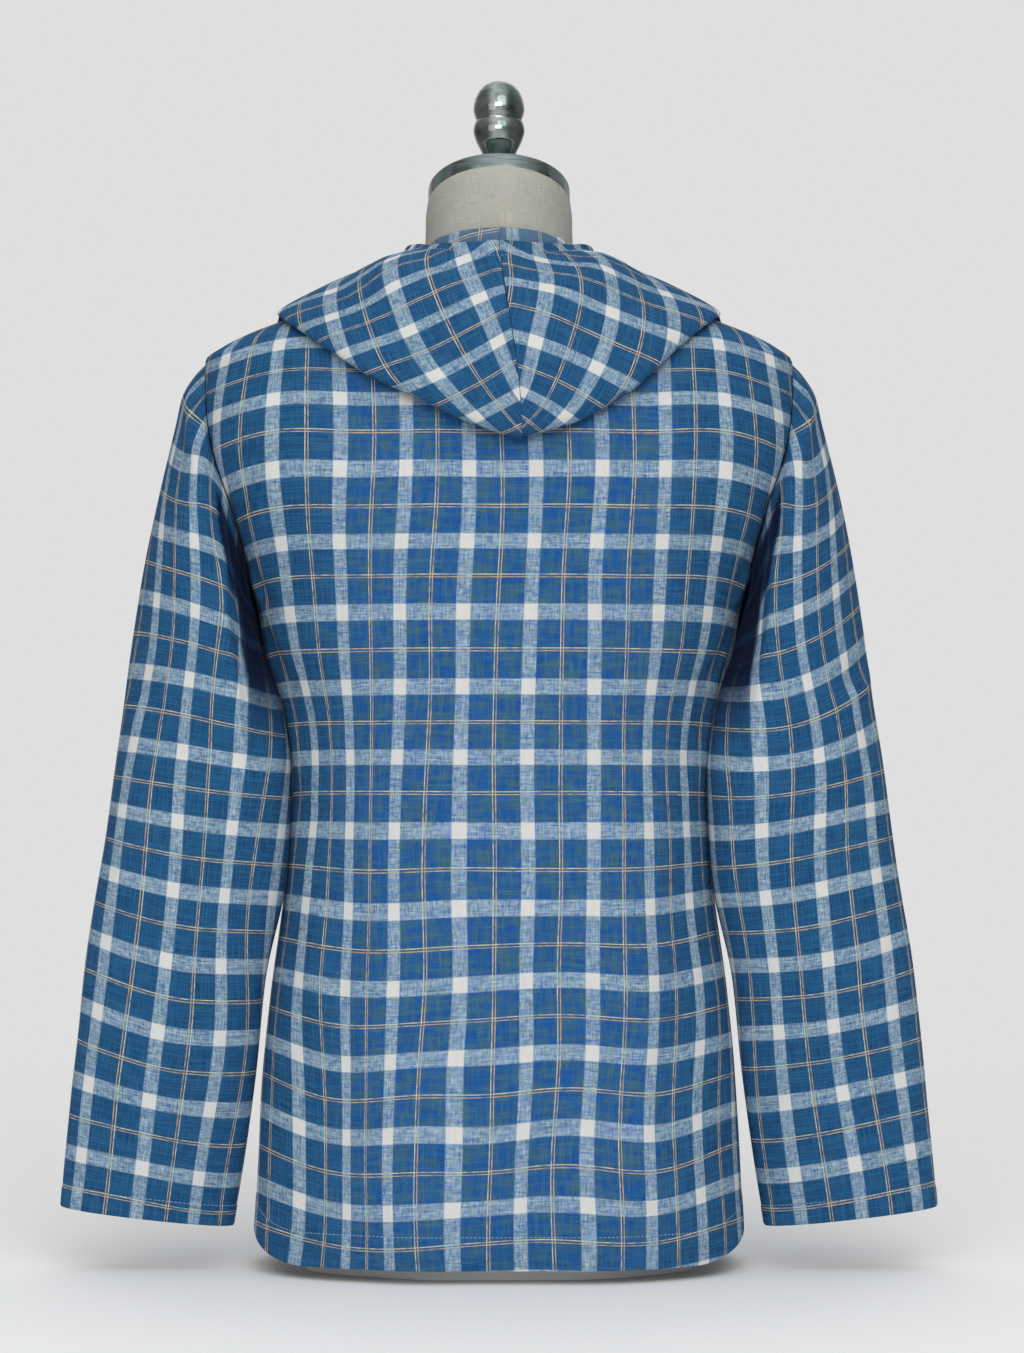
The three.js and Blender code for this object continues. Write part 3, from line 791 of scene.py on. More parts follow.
GROUND = {
    "dark": srgb(13, 61, 105),
    "light": srgb(46, 107, 152),
    "royal": srgb(38, 102, 178),
    "green": srgb(80, 124, 142),
}
PALE = {"cool": srgb(230, 230, 227), "warm": srgb(226, 224, 222)}
THIN_LINE = {"tan": srgb(228, 186, 132), "cream": srgb(236, 222, 174)}


def linen(name, wrong_side=0.0):
    """Plain-woven linen in a plaid: blue, with white bands and thin double lines, tan and cream. Warp
    threads run along v and are told by u; weft threads run along u and are told by v."""
    s = Shader(name)
    cloth = s.add("ShaderNodeUVMap", uv_map="Cloth").outputs[0]
    u, v = (s.math("MULTIPLY", part, 1 / MM) for part in s.split(cloth)[:2])
    tone = s.attribute("Tone")

    # The yarns: uneven in thickness and colour, in long thin streaks.
    warp = s.streak(u, v, 0.75, 30, 1)
    weft = s.streak(v, u, 0.75, 30, 1, 7.3)
    warp_slub = s.streak(u, v, 1.3, 6, 1, 3.1)
    weft_slub = s.streak(v, u, 1.3, 6, 1, 5.7)
    weave = s.weave(u, v, THREAD_PITCH["linen"])

    def yarn(place, other, period, band, shift, streak, slub, seed):
        """The colour of the yarns told by place: the ground, a white band and a thin double line."""
        def from_middle(shift):
            """The distance from the middle of the nearest repeat, on its own side."""
            turn = s.math("FRACT", s.math("MULTIPLY_ADD", place, 1 / period, shift))
            return s.math("MULTIPLY", s.math("SUBTRACT", turn, 0.5), period)

        off_band = s.math("ABSOLUTE", from_middle(shift))
        white = s.fade(off_band, band / 2 - BAND_BLUR, band / 2 + BAND_BLUR, 1, 0)
        signed = from_middle(shift + 0.5)
        off_line = s.math("ABSOLUTE", s.math("SUBTRACT", s.math("ABSOLUTE", signed), LINE["from_middle"]))
        line = s.fade(off_line, LINE["full"], LINE["gone"], 1, 0)
        # Ground: steel blue, with royal blue and grey-green patches towards the middle of the back.
        deep = s.mix(s.fade(streak, 0.3, 0.7), GROUND["dark"], GROUND["light"])
        stripe = s.vector(s.math("DIVIDE", place, 5), s.math("DIVIDE", other, 24), seed)
        patch = s.fade(s.noise(stripe, 2), 0.42, 0.6)
        royal = s.mix(patch, GROUND["royal"], GROUND["green"])
        royal = s.mix(s.fade(streak, 0.3, 0.72), s.darker(royal, (0.6, 0.66, 0.72)), royal)
        deep = s.mix(s.math("MULTIPLY", tone, 0.8), deep, royal)
        pale = s.mix(s.math("MULTIPLY", tone, patch), PALE["cool"], PALE["warm"])
        thin = s.mix(s.fade(signed, -0.3, 0.3), THIN_LINE["tan"], THIN_LINE["cream"])
        strength = s.fade(slub, 0.28, 0.56, 0.5, 1)
        return s.mix(s.math("MULTIPLY", line, strength), s.mix(white, deep, pale), thin), white, line

    warp_colour, warp_white, warp_line = yarn(
        u, v, PLAID["across"], PLAID["warp_band"], 0.0, warp, warp_slub, 1.0)
    weft_colour, weft_white, weft_line = yarn(
        v, u, PLAID["down"], PLAID["weft_band"], 0.5, weft, weft_slub, 4.0)
    # Which yarn shows at each place: 1 is the warp. The coarser thin lines show more, the white less.
    lead = s.math("SUBTRACT", s.math("ADD", warp, warp_slub), s.math("ADD", weft, weft_slub))
    lead = s.math("MULTIPLY_ADD", lead, 0.75, s.math("MULTIPLY_ADD", weave, 0.3, 0.5))
    lead = s.math("MULTIPLY_ADD", s.math("SUBTRACT", weft_white, warp_white), 0.09, lead)
    lead = s.math("MULTIPLY_ADD", s.math("SUBTRACT", warp_line, weft_line), 0.24, lead, clamp=True)
    colour = s.mix(lead, weft_colour, warp_colour)
    # Where a white band crosses the ground, half of its yarns are blue, and the mix of the two is bluer.
    both = s.math("MULTIPLY", warp_white, weft_white)
    one = s.math("SUBTRACT", s.math("MAXIMUM", warp_white, weft_white), both)
    colour = s.mix(one, colour, s.darker(colour, (0.74, 0.95, 1.07)))
    if wrong_side:
        colour = s.mix(wrong_side, colour, srgb(176, 190, 200))
    # Painted shade: the colour is darkened in the deepest folds under the arms.
    colour = s.mix(s.attribute("Shade"), colour, s.darker(colour, (0.012, 0.06, 0.15)))
    height = s.math("MULTIPLY_ADD", weave, 0.35, s.math("ADD", s.math("MAXIMUM", warp, weft), lead))
    s.bump(height, 0.2)
    rough = s.fade(weave, -1, 1, 0.95, 0.8)
    return s.set(Base_Color=colour, Roughness=rough, Specular_IOR_Level=0.12,
                 Sheen_Weight=0.02, Sheen_Roughness=0.6)


def canvas():
    """Pale grey canvas, tightly woven and slightly soiled."""
    s = Shader("form_canvas")
    place = s.place()
    x, y, z = s.millimetres(place)
    round_the_neck = s.math("MULTIPLY", s.math("ARCTAN2", x, y), NECK_SEAM["radius"])
    warp = s.streak(round_the_neck, z, 0.7, 14)
    weft = s.streak(z, round_the_neck, 0.7, 14)
    weave = s.weave(round_the_neck, z, THREAD_PITCH["canvas"])
    thread = s.math("MULTIPLY_ADD", weave, 0.12, s.math("MULTIPLY", s.math("ADD", warp, weft), 0.5))
    soil = s.fade(s.noise(place, 3, 26.0), 0.35, 0.7)
    colour = s.mix(s.fade(thread, 0.25, 0.75), srgb(168, 169, 158), srgb(196, 197, 188))
    colour = s.mix(s.math("MULTIPLY", soil, 0.25), colour, srgb(170, 164, 146))
    from_seam = s.math("ABSOLUTE", s.math("ADD", round_the_neck, NECK_SEAM["along"]))
    colour = s.mix(s.fade(from_seam, 0.4, 1.8, 0.4, 0), colour, srgb(208, 178, 160))
    # Painted light: the form's lowest band, in the shade under the hem, is made near white to blend with the
    # floor.
    painted_light_at_foot = s.fade(z, 12, 15, 1, 0)
    colour = s.mix(painted_light_at_foot, colour, srgb(236, 236, 234))
    s.bump(thread, 0.16)
    return s.set(Base_Color=colour, Roughness=0.9, Sheen_Weight=0.1)


def brushed_metal():
    """The ring and lid: metal brushed round the neck, faintly green from its lacquer, with painted
    reflections in broad light and dark patches and painted teal highlights round the rim.
    """
    s = Shader("brushed_ring_metal")
    x, y, z = s.millimetres(s.place())
    round_it = s.math("MULTIPLY", s.math("ARCTAN2", x, y), CAP["radius"])
    from_axis = s.math("SQRT", s.math("ADD", s.math("MULTIPLY", x, x), s.math("MULTIPLY", y, y)))
    rim = s.fade(from_axis, 49, 53)
    fine = s.streak(s.math("ADD", z, from_axis), round_it, 0.5, 26, 2)
    # Painted reflections in broad light and dark patches round the rim, and painted teal highlights; the lid
    # keeps one even tone.
    painted_reflection = s.mix(rim, (0.5, 0.5, 0.5, 1), s.streak(round_it, z, 13, 200, 1, 4.0))
    painted_highlight = s.mix(rim, (0, 0, 0, 1), s.fade(s.streak(round_it, z, 9, 200, 1, 9.0), 0.56, 0.74, 0, 0.7))
    colour = s.mix(s.fade(painted_reflection, 0.36, 0.62), srgb(100, 122, 116), srgb(180, 188, 190))
    colour = s.mix(painted_highlight, colour, srgb(140, 214, 200))
    colour = s.mix(s.fade(fine, 0.3, 0.7), s.darker(colour, (0.6, 0.66, 0.64)), colour)
    s.bump(fine, 0.05)
    rough = s.fade(fine, 0.3, 0.7, 0.24, 0.4)
    return s.set(Base_Color=colour, Metallic=1.0, Roughness=rough, Anisotropic=0.4)


def polished_metal():
    """Turned and polished metal, a little worn, its colour and roughness varying in soft pale and dark
    patches.
    """
    s = Shader("finial_metal")
    place = s.place()
    # Soft patches where the metal's colour runs from pale to dark, and its roughness with it.
    mottle = s.fade(s.noise(place, 4, 60.0), 0.35, 0.75)
    wear = s.fade(s.noise(place, 5, 300.0, 0.7), 0.5, 0.8)
    colour = s.mix(mottle, srgb(176, 184, 182), srgb(88, 112, 108))
    s.bump(wear, 0.03)
    rough = s.fade(mottle, 0, 1, 0.07, 0.18)
    return s.set(Base_Color=colour, Metallic=1.0, Roughness=rough)


def horn():
    """Dark blue button plastic with cloudy swirls."""
    s = Shader("button_plastic")
    place = s.place()
    cloud = s.fade(s.noise(place, 4, 220.0), 0.35, 0.65)
    colour = s.mix(cloud, srgb(30, 44, 66), srgb(66, 86, 112))
    s.bump(cloud, 0.05)
    return s.set(Base_Color=colour, Roughness=0.28, Coat_Weight=0.3, Coat_Roughness=0.15)


def thread(name, dark, light):
    """Sewing thread, twisted, so its colour and sheen change along each stitch."""
    s = Shader(name)
    place = s.place()
    twist = s.noise(place, 2, 2600.0)
    s.bump(twist, 0.08)
    return s.set(Base_Color=s.mix(twist, dark, light), Roughness=0.7, Sheen_Weight=0.3)


def plain_floor():
    """A pale floor that fades into the pale surroundings, so that no horizon shows."""
    s = Shader("floor_paper")
    place = s.place()
    length = s.add("ShaderNodeVectorMath", place, operation="LENGTH")
    grain = s.noise(place, 3, 900.0)
    s.bump(grain, 0.05)
    far = s.fade(length.outputs["Value"], 0.35, 2.2, 1.0, 0.0)
    colour = s.mix(grain, srgb(249, 249, 249), srgb(253, 253, 253))
    return s.set(Base_Color=colour, Roughness=1.0, Specular_IOR_Level=0.0, Alpha=far)


CLOTH_MATERIALS = [linen("linen_plaid"), linen("linen_wrong_side", 0.22)]
BUTTON_PLASTIC = horn()
THREAD = thread("pale_thread", srgb(120, 146, 170), srgb(196, 206, 212))
WAIST = rise_along(446.5, 1)  # where the weft bands are counted from


def unfolded(grid, across, up, seen):
    """A grid of points laid out flat, with its sizes kept, and turned to fit across and up where seen."""
    rows, columns = grid.shape[:2]
    faces = grid_faces(rows, columns)[1]
    sheet = mesh_object("sheet_to_unfold", grid.reshape(-1, 3), faces, [], np.zeros((len(faces), 4, 2)))
    bpy.context.view_layer.objects.active = sheet
    sheet.select_set(True)
    bpy.ops.object.mode_set(mode="EDIT")
    bpy.ops.mesh.select_all(action="SELECT")
    bpy.ops.uv.unwrap(method="MINIMUM_STRETCH", margin=0)
    bpy.ops.object.mode_set(mode="OBJECT")
    uv = np.zeros(len(faces) * 8)
    sheet.data.uv_layers[0].data.foreach_get("uv", uv)
    bpy.data.meshes.remove(sheet.data)
    flat = np.zeros(rows * columns, complex)
    flat[faces.ravel()] = uv[::2] + 1j * uv[1::2]
    wanted = (across + 1j * up)[seen]
    best = None
    for turned in (flat, flat.conj()):
        turned = turned.reshape(rows, columns)
        full = np.stack([turned[seen], np.ones(len(wanted))], -1)
        fit = np.linalg.lstsq(full, wanted, rcond=None)[0]
        missed = np.abs(full @ fit - wanted).sum()
        if best is None or missed < best[0]:
            best = missed, turned * fit[0] + fit[1]
    return best[1].real, best[1].imag


def fit(piece, slot, node=None):
    """Puts a piece on the frame's one body, in the place of its CAD node if it has one. slot is not used."""
    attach(piece, "root")
    if node:
        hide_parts(node)
    return piece


def cloth_piece(name, grid, relief, uv, tone, shade=None, turn=1, split=False):
    """One cut piece of the shirt, with its grid pushed out by relief, which stands for its CAD node.
    turn is -1 where the grid's rows and columns run so that its normals point in."""
    outer = grid + grid_normals(grid, split) * turn * relief[..., None]
    normals = grid_normals(outer, split) * turn
    shade = 0 * relief if shade is None else shade
    piece = shell(f"cloth_{name}", outer, normals, CLOTH, uv, tone, shade, CLOTH_MATERIALS)
    return fit(piece, "linen", name), outer, normals


def rings_round(path, aside, up, radius):
    """Rings of points round a path, in the plane of aside and up at each place."""
    turns = np.arange(THREAD_SIDES) * 2 * math.pi / THREAD_SIDES
    cos, sin = np.cos(turns)[None, :, None], np.sin(turns)[None, :, None]
    return path[:, None] + radius * (aside[:, None] * cos + up[:, None] * sin)


def tube(rings):
    """Points and faces of a closed tube through its rings."""
    point, walls = grid_faces(len(rings), THREAD_SIDES, closed=True)
    ends = point[[0, -1]][:, [[0, 5, 4, 1], [1, 4, 3, 2]]]  # two faces close the six sides
    return rings.reshape(-1, 3), np.concatenate([walls, ends[0], ends[1][:, ::-1]])


def merged(parts):
    """Many (points, faces) pairs as one."""
    starts = np.cumsum([0] + [len(points) for points, faces in parts[:-1]])
    return (np.concatenate([points for points, faces in parts]),
            np.concatenate([faces + start for (points, faces), start in zip(parts, starts)]))


def stitches(name, path, normals):
    """A row of running stitches along a path of points: short sunk loops of thread."""
    along = running(distances(path))
    count = int(along[-1] / (STITCH["long"] + STITCH["gap"]))
    places = np.array([-0.5, -0.36, 0, 0.36, 0.5])
    sunk = np.array([-0.25, 0.06, 0.16, 0.06, -0.25])
    wide = STITCH["radius"] * np.array([0.6, 1, 1, 1, 0.6])
    parts = []
    for start in (np.arange(count) + 0.5) * along[-1] / count:
        at = start + places * STITCH["long"]
        middle = np.stack([np.interp(at, along, path[:, axis]) for axis in range(3)], 1)
        normal = unit(np.stack([np.interp(at, along, normals[:, axis]) for axis in range(3)], 1))
        middle = middle + normal * sunk[:, None]
        aside = unit(np.cross(normal, unit(np.gradient(middle, axis=0))))
        parts.append(tube(rings_round(middle, aside, normal * 0.8, wide[:, None, None])))
    return fit(mesh_object(name, *merged(parts), [THREAD]), "linen")


def nearest(values, place):
    return int(np.argmin(np.abs(values - place)))


def edge_stitches(name, outer, normals, from_edge, turned):
    """The stitches of a turned edge, along the row of the grid that lies that far from it."""
    row = nearest(from_edge, TURNING[turned])
    return stitches(f"stitches_{name}", outer[row], normals[row])


def royal(across, up):
    """How much of the back's royal tone a place has."""
    side = 1 - smoothstep(np.abs(across + 4), 95, 165)
    return side * smoothstep(up, -40, 60)


def panel_relief(part, up, rows, phase, clear=np.inf):
    """How far a body panel's cloth is pushed out: creases and swells that fade out before its edges and
    before clear, then its seams and its turned hem."""
    hem, top = part["z"] - part["z"][:1], part["z"][-1:] - part["z"]
    loose = crease_height(part["across"], part["z"], rows) + swells(part["across"], up, phase)
    from_edge = np.minimum(np.minimum(part["edge"], clear), np.minimum(hem, top))
    sewn = seam_dip(part["edge"], 0.35, 1.8) + turning(hem, TURNING["hem"]) + seam_dip(top)
    return loose * smoothstep(from_edge, 0, LOOSE["panel"]) + sewn


def make_back():
    shares = spaced(275, fine=(0, 1)) / 275
    right, left = (half_panel(1, side, shares) for side in (-1, 1))
    right["across"] = -right["across"]
    part = {key: np.concatenate([right[key][:, :0:-1], left[key]], 1) for key in left}
    grid = offset(part["azimuth"], part["z"], 0)
    up = rise_along(part["z"], 1)
    relief = panel_relief(part, up, CREASES["back"], 0.4)
    uv = chart(grid, part["across"], up, CROSSINGS["back"], grid[..., 1] > BACK_SEEN)
    tone = royal(part["across"], up)
    shade = fold_shade(part["across"], part["z"], SHADES["back"])
    piece, outer, normals = cloth_piece("back", grid, relief, uv, tone, shade, split=True)
    sewn = [edge_stitches("hem_back", outer, normals, body_rows(), "hem")]


def make_front(name, side):
    shares = spaced(290, extra=(BAND["width"],)) / 290
    part = half_panel(-1, side, shares, LAP)
    if side > 0:
        part = {key: value[:, ::-1] for key, value in part.items()}
    lap = part["across"] + LAP
    share = lap / (part["edge"] + lap)
    flat = 1 - smoothstep(share * BAND["panel"], BAND["width"], BAND["width"] + BAND["ease"])
    over_other_front = WALL + 2 * SEAM if side > 0 else 0
    grid = offset(part["azimuth"], part["z"], over_other_front * flat)
    up = rise_along(part["z"], -1)
    relief = panel_relief(part, up, CREASES["front"], 2.0 + side, lap - BAND["width"])
    relief += turning(lap, BAND["width"], 0.3)
    uv = np.stack([side * part["across"], up - WAIST], -1) * MM
    tone = royal(part["across"], up) * 0.8
    piece, outer, normals = cloth_piece(f"front_{name}", grid, relief, uv, tone, split=True)
    column = nearest(lap[FRONT_ROW], BAND["width"])
    sewn = [edge_stitches(f"hem_front_{name}", outer, normals, body_rows(), "hem"),
            stitches(f"stitches_band_{name}", outer[:, column], normals[:, column])]
    return outer


def armhole_points(angle):
    sin, cos = sin_cos(angle)
    z = ARMHOLE["middle"] + (ARMHOLE["rise"] - 1.2 * SEAM) * cos
    y = sin * (np.where(sin > 0, ARMHOLE["back"], ARMHOLE["front"]) - 1.2 * SEAM)
    section = read(BODY, "z", z)
    n = section["square"]
    depth = np.where(y > 0, section["back"], section["front"])
    x = section["half"] * (1 - np.abs(y / depth) ** n) ** (1 / n)
    return np.stack([x + SEAM, y, z], -1)


def sleeve_rings(at, angle):
    ring = {key: value[:, None] for key, value in read(SLEEVE, "at", at).items()}
    sin, cos = sin_cos(angle[None])
    around = (np.abs(sin) ** ring["square"] + np.abs(cos) ** ring["square"]) ** (-1 / ring["square"])
    outward = (1 + cos * around) / 2
    x = ring["inX"] + (ring["outX"] - ring["inX"]) * outward
    y = ring["midY"] + ring["deep"] * sin * around
    z = ring["inZ"] + (ring["outZ"] - ring["inZ"]) * outward
    return np.stack([x, y, z], -1)


def make_sleeve(name, side):
    count = 118
    seam = 0.15  # degrees from the underarm seam to the cloth's edge
    angle = side * np.concatenate([[180 + seam], 180 + 360 * np.arange(1, count) / count, [540 - seam]])
    stations = np.array([1, 1.5, 2, 2.5, 3, 3.5, 4, 4.5, 5, 5.35, 6, 7, 8, 9, 10, 11])
    coarse = np.concatenate([armhole_points(angle)[None], sleeve_rings(stations, angle)]) * [side, 1, 1]
    along = running(distances(coarse).mean(1))
    rows = spaced(along[-1], extra=(along[-1] - TURNING["cuff"],))
    grid = smooth(along, coarse, rows)
    arcs = running(distances(grid, 1), 1)
    across = side * (arcs - arcs[:, [count // 2]])
    up = -np.broadcast_to(rows[:, None], across.shape)
    around = across / arcs[:, -1:] * SLEEVE_GIRTH
    to_cuff = (along[-1] - rows)[:, None] + 0 * across
    edge = np.minimum(arcs, arcs[:, -1:] - arcs)
    relief = crease_height(around, -up, CREASES[f"sleeve_{name}"]) + swells(around, up, 3.0 + side)
    relief = relief * smoothstep(np.minimum(np.minimum(edge, -up), to_cuff), 0, LOOSE["other"])
    relief += seam_dip(edge) + seam_dip(-up, 0.2, 1.6) + turning(to_cuff, TURNING["cuff"])
    relief += 1.2 * smoothstep(-up, 0, 7) * (1 - smoothstep(-up, 10, 45))  # the head's ease
    uv = chart(grid, across, up, CROSSINGS[f"sleeve_{name}"], across > 0, mirrored=True)
    tone = 0.1 + 0 * across
    shade = fold_shade(around, -up, SHADES["sleeve"])
    middle = grid.mean(1, keepdims=True)
    out = np.sign(np.sum(grid_normals(grid) * (grid - middle)))
    piece, outer, normals = cloth_piece(f"sleeve_{name}", grid, relief, uv, tone, shade, turn=out)
    sewn = [edge_stitches(f"cuff_{name}", outer, normals, along[-1] - rows, "cuff")]


def hood_path(azimuth, sag):
    """The hood's section at each azimuth, from the neck seam up and over the crest, down to the fold and
    up again to the face edge. Each row of the array has a height and a distance out from the shirt for
    each azimuth."""
    row = read(HOOD, "azimuth", np.abs(azimuth))
    row["fold"] = row["fold"] - sag["deep"] * bell((azimuth - sag["at"]) / sag["wide"])
    lining = WALL + 6 * SEAM
    roll = lining / 2 + 0.4
    path = [(row["neck"] + SEAM, 0), ((row["neck"] + row["crest"]) / 2, 0), (row["crest"], 0)]
    path += [(row["crest"] + roll, lining / 4), (row["crest"] + roll, 3 * lining / 4), (row["crest"], lining)]
    path += [(row["crest"] + t * (row["fold"] - row["crest"]), lining + t) for t in (0.2, 0.4, 0.6, 0.8, 1)]
    turn = (0.62 * row["puff"] - lining) / 2
    for a in np.radians([45, 90, 135]):
        path.append((row["fold"] - turn * np.sin(a), lining + 1 + turn * (1 - np.cos(a))))
    top = lining + 2 * WALL + HOOD_MOUTH
    foot = lining + 1 + 2 * turn
    for t in (0, 0.2, 0.4, 0.6, 0.8, 0.93, 1):
        puff = foot + (row["puff"] - foot) * math.sin(math.pi * t * 0.8)
        height = row["fold"] + t * (row["edge"] - row["fold"])
        path.append((height, puff + (top - puff) * smoothstep(t, 0.6, 1)))
    return np.array([np.broadcast_arrays(z, out + 0 * azimuth) for z, out in path]).transpose(0, 2, 1)


def spline(points, parts):
    """A smooth curve through points (by row), with each stretch cut into that many parts."""
    steps = distances(points).mean(1)[:, None, None]
    rise = np.diff(points, axis=0) / steps
    inner = (rise[:-1] * steps[1:] + rise[1:] * steps[:-1]) / (steps[1:] + steps[:-1])
    slope = np.concatenate([rise[:1], inner, rise[-1:]])
    made = []
    for i, count in enumerate(parts):
        for t in np.arange(count) / count:
            ease = t * t * (3 - 2 * t)
            tangent = t * (1 - t) ** 2 * slope[i] + t * t * (t - 1) * slope[i + 1]
            made.append(points[i] * (1 - ease) + points[i + 1] * ease + steps[i] * tangent)
    return np.array(made + [points[-1]])


def bridge_corner(grid, amount):
    """Where the shoulder turns up into the neck, makes the cloth bridge the corner in a soft curve."""
    for _ in range(90):
        around = (grid[:-2, 1:-1] + grid[2:, 1:-1] + grid[1:-1, :-2] + grid[1:-1, 2:]) / 4
        grid[1:-1, 1:-1] += 0.6 * amount[1:-1, 1:-1, None] * (around - grid[1:-1, 1:-1])


def make_hood(name, side):
    dense = np.linspace(0, 180, 721)
    girth = running(distances(surface(dense, HOOD_GIRTH_AT)))
    stations = spaced(girth[-1])
    azimuth = np.interp(stations, girth, dense)
    key = hood_path(azimuth, HOOD_SAG[name])
    parts = np.maximum(2, np.round(distances(key[:, :1])[:, 0] / STEP)).astype(int)
    parts[0], parts[-1] = 7, 6
    path = spline(key, parts)
    z, out = path[..., 0], path[..., 1]
    grid = offset(np.broadcast_to(side * azimuth, z.shape), z, out)
    gap = np.zeros(len(azimuth))
    gap[[0, -1]] = side * SEAM
    hang = smoothstep(790 - z, 0, 160) * np.exp(-((azimuth / 35) ** 2))
    grid[..., 0] += gap - HOOD_TWIST * hang * smoothstep(out, 1, 6)
    length = running(distances(path))
    beside_neck = smoothstep(azimuth, 45, 66) * (1 - smoothstep(azimuth, 130, 155))
    bridge_corner(grid, beside_neck * smoothstep(length, 11, 16))
    fold = int(parts[:13].sum())
    up = length - length[fold] + z[fold]
    across = side * running(distances(grid, 1), 1)
    to_edge = length[-1:] - length
    end = np.minimum(stations, girth[-1] - stations) + 0 * z
    visible = smoothstep(length, length[fold] - 20, length[fold] + 10)
    relief = crease_height(side * across, z, CREASES[f"hood_{name}"]) + swells(across, up, 5.0 + side)
    relief = visible * relief * smoothstep(np.minimum(end, to_edge), 0, LOOSE["other"])
    relief += seam_dip(end, 1.0, 2.6) * visible + turning(to_edge, TURNING["hood"])
    normals = grid_normals(grid)
    turn = np.sign(np.sum(normals[fold + 4:, 3:20, 1]))
    seen = (np.arange(len(z)) > fold)[:, None] & (grid[..., 1] > 0)
    flat_across, flat_up = unfolded(grid, across, up, seen)
    uv = chart(grid, flat_across, flat_up, CROSSINGS[f"hood_{name}"], seen, swapped=True)
    piece, outer, normals = cloth_piece(f"hood_{name}", grid, relief, uv, 0.15 + 0 * z, turn=turn)
    sewn = [edge_stitches(f"hood_edge_{name}", outer, normals, to_edge[:, 0], "hood")]


def revolve(profile, segments):
    """Rings of points about the Z axis, from a profile of (radius, height)."""
    turns = 2 * math.pi * np.arange(segments) / segments
    return np.array([[(r * math.cos(t), r * math.sin(t), h) for t in turns] for r, h in profile])


def loft(name, rings, materials, sharp):
    """A closed body through rings of points, with each end closed about its middle."""
    point, faces = grid_faces(*rings.shape[:2], closed=True)
    points = np.concatenate([rings.reshape(-1, 3), rings[[0, -1]].mean(1)])
    low, high = point[0], point[-1]
    middle = 0 * low + point.size
    caps = [np.stack([np.roll(low, -1), low, middle], -1),
            np.stack([high, np.roll(high, -1), middle + 1], -1)]
    tris = np.concatenate([faces[:, [0, 1, 2]], faces[:, [0, 2, 3]], *caps])
    if signed_volume(points, tris) < 0:
        tris = tris[:, ::-1]
    return mesh_object(name, points, tris, materials, sharp=sharp)


def make_form():
    azimuths = np.linspace(0, 360, 145)[:-1]
    heights = np.concatenate([np.arange(0, 690, 12), np.arange(690, 772, 4), [772]])
    inset = {key: smooth(INSET["z"], INSET[key], heights)[:, None] for key in ("side", "face")}
    sin, cos = sin_cos(azimuths[None])
    inward = inset["face"] + (inset["side"] - inset["face"]) * sin**2
    body = offset(azimuths[None], heights[:, None], -inward)
    body[0, :, 2] = 0
    neck = np.arange(781, 823.5, 2)
    shape = read(NECK, "z", neck)
    from_seam = np.abs((azimuths + 180) % 360 - 180 + NECK_SEAM["degrees"])
    from_seam = from_seam * math.pi / 180 * NECK_SEAM["radius"]
    radius = shape["radius"][:, None] - 0.5 * np.exp(-((from_seam / 1.6) ** 2))[None]
    y = radius * cos
    rings = np.stack([radius * sin, y, neck[:, None] + y * np.tan(np.radians(shape["lean"]))[:, None]], -1)
    fit(loft("form_canvas_body", np.concatenate([body, rings]), [canvas()], 60), "canvas", "form_body")


def rounded(profile, steps=4):
    """A profile with soft corners: each corner is cut by a short curve."""
    share = 0.28
    made = [profile[0]]
    for before, corner, after in zip(profile, profile[1:], profile[2:]):
        before, corner, after = (np.array(p, float) for p in (before, corner, after))
        start, end = corner + share * (before - corner), corner + share * (after - corner)
        for t in np.linspace(0, 1, steps):
            made.append(tuple((1 - t) ** 2 * start + 2 * t * (1 - t) * corner + t * t * end))
    return made + [profile[-1]]


def tilted(rings, z):
    """Rings turned about the X axis by the cap's tilt and raised to z."""
    cos, sin = math.cos(CAP_TILT), math.sin(CAP_TILT)
    x, y, h = rings[..., 0], rings[..., 1], rings[..., 2]
    return np.stack([x, y * cos - h * sin, y * sin + h * cos + z], -1)


def make_cap():
    radius, floor = CAP["radius"], CAP["floor"]
    rim = CAP["height"] + CAP_RIM
    profile = [(0.01, 0), (radius - 1, 0), (radius, 1), (radius, rim - 1.2), (radius - 0.6, rim - 0.3),
               (radius - 1.6, rim), (radius - 2.7, rim - 0.6), (radius - 3, floor), (0.01, floor)]
    rings = tilted(revolve(rounded(profile), 144), CAP["z"] + SEAM / 2)
    fit(loft("neck_cap_metal", rings, [brushed_metal()], 30), "brushed_ring", "neck_cap")


def make_finial():
    rings = revolve(rounded(FINIAL, 5), 96)
    low = rings[..., 2] < 1
    rings[..., 2] = np.where(low, rings[..., 1] * math.tan(CAP_TILT), rings[..., 2])
    rings[..., 2] += CAP["z"] + (CAP["floor"] + 1.5 * SEAM) / math.cos(CAP_TILT)
    fit(loft("finial_knob", rings, [polished_metal()], 40), "finial_chrome", "finial")


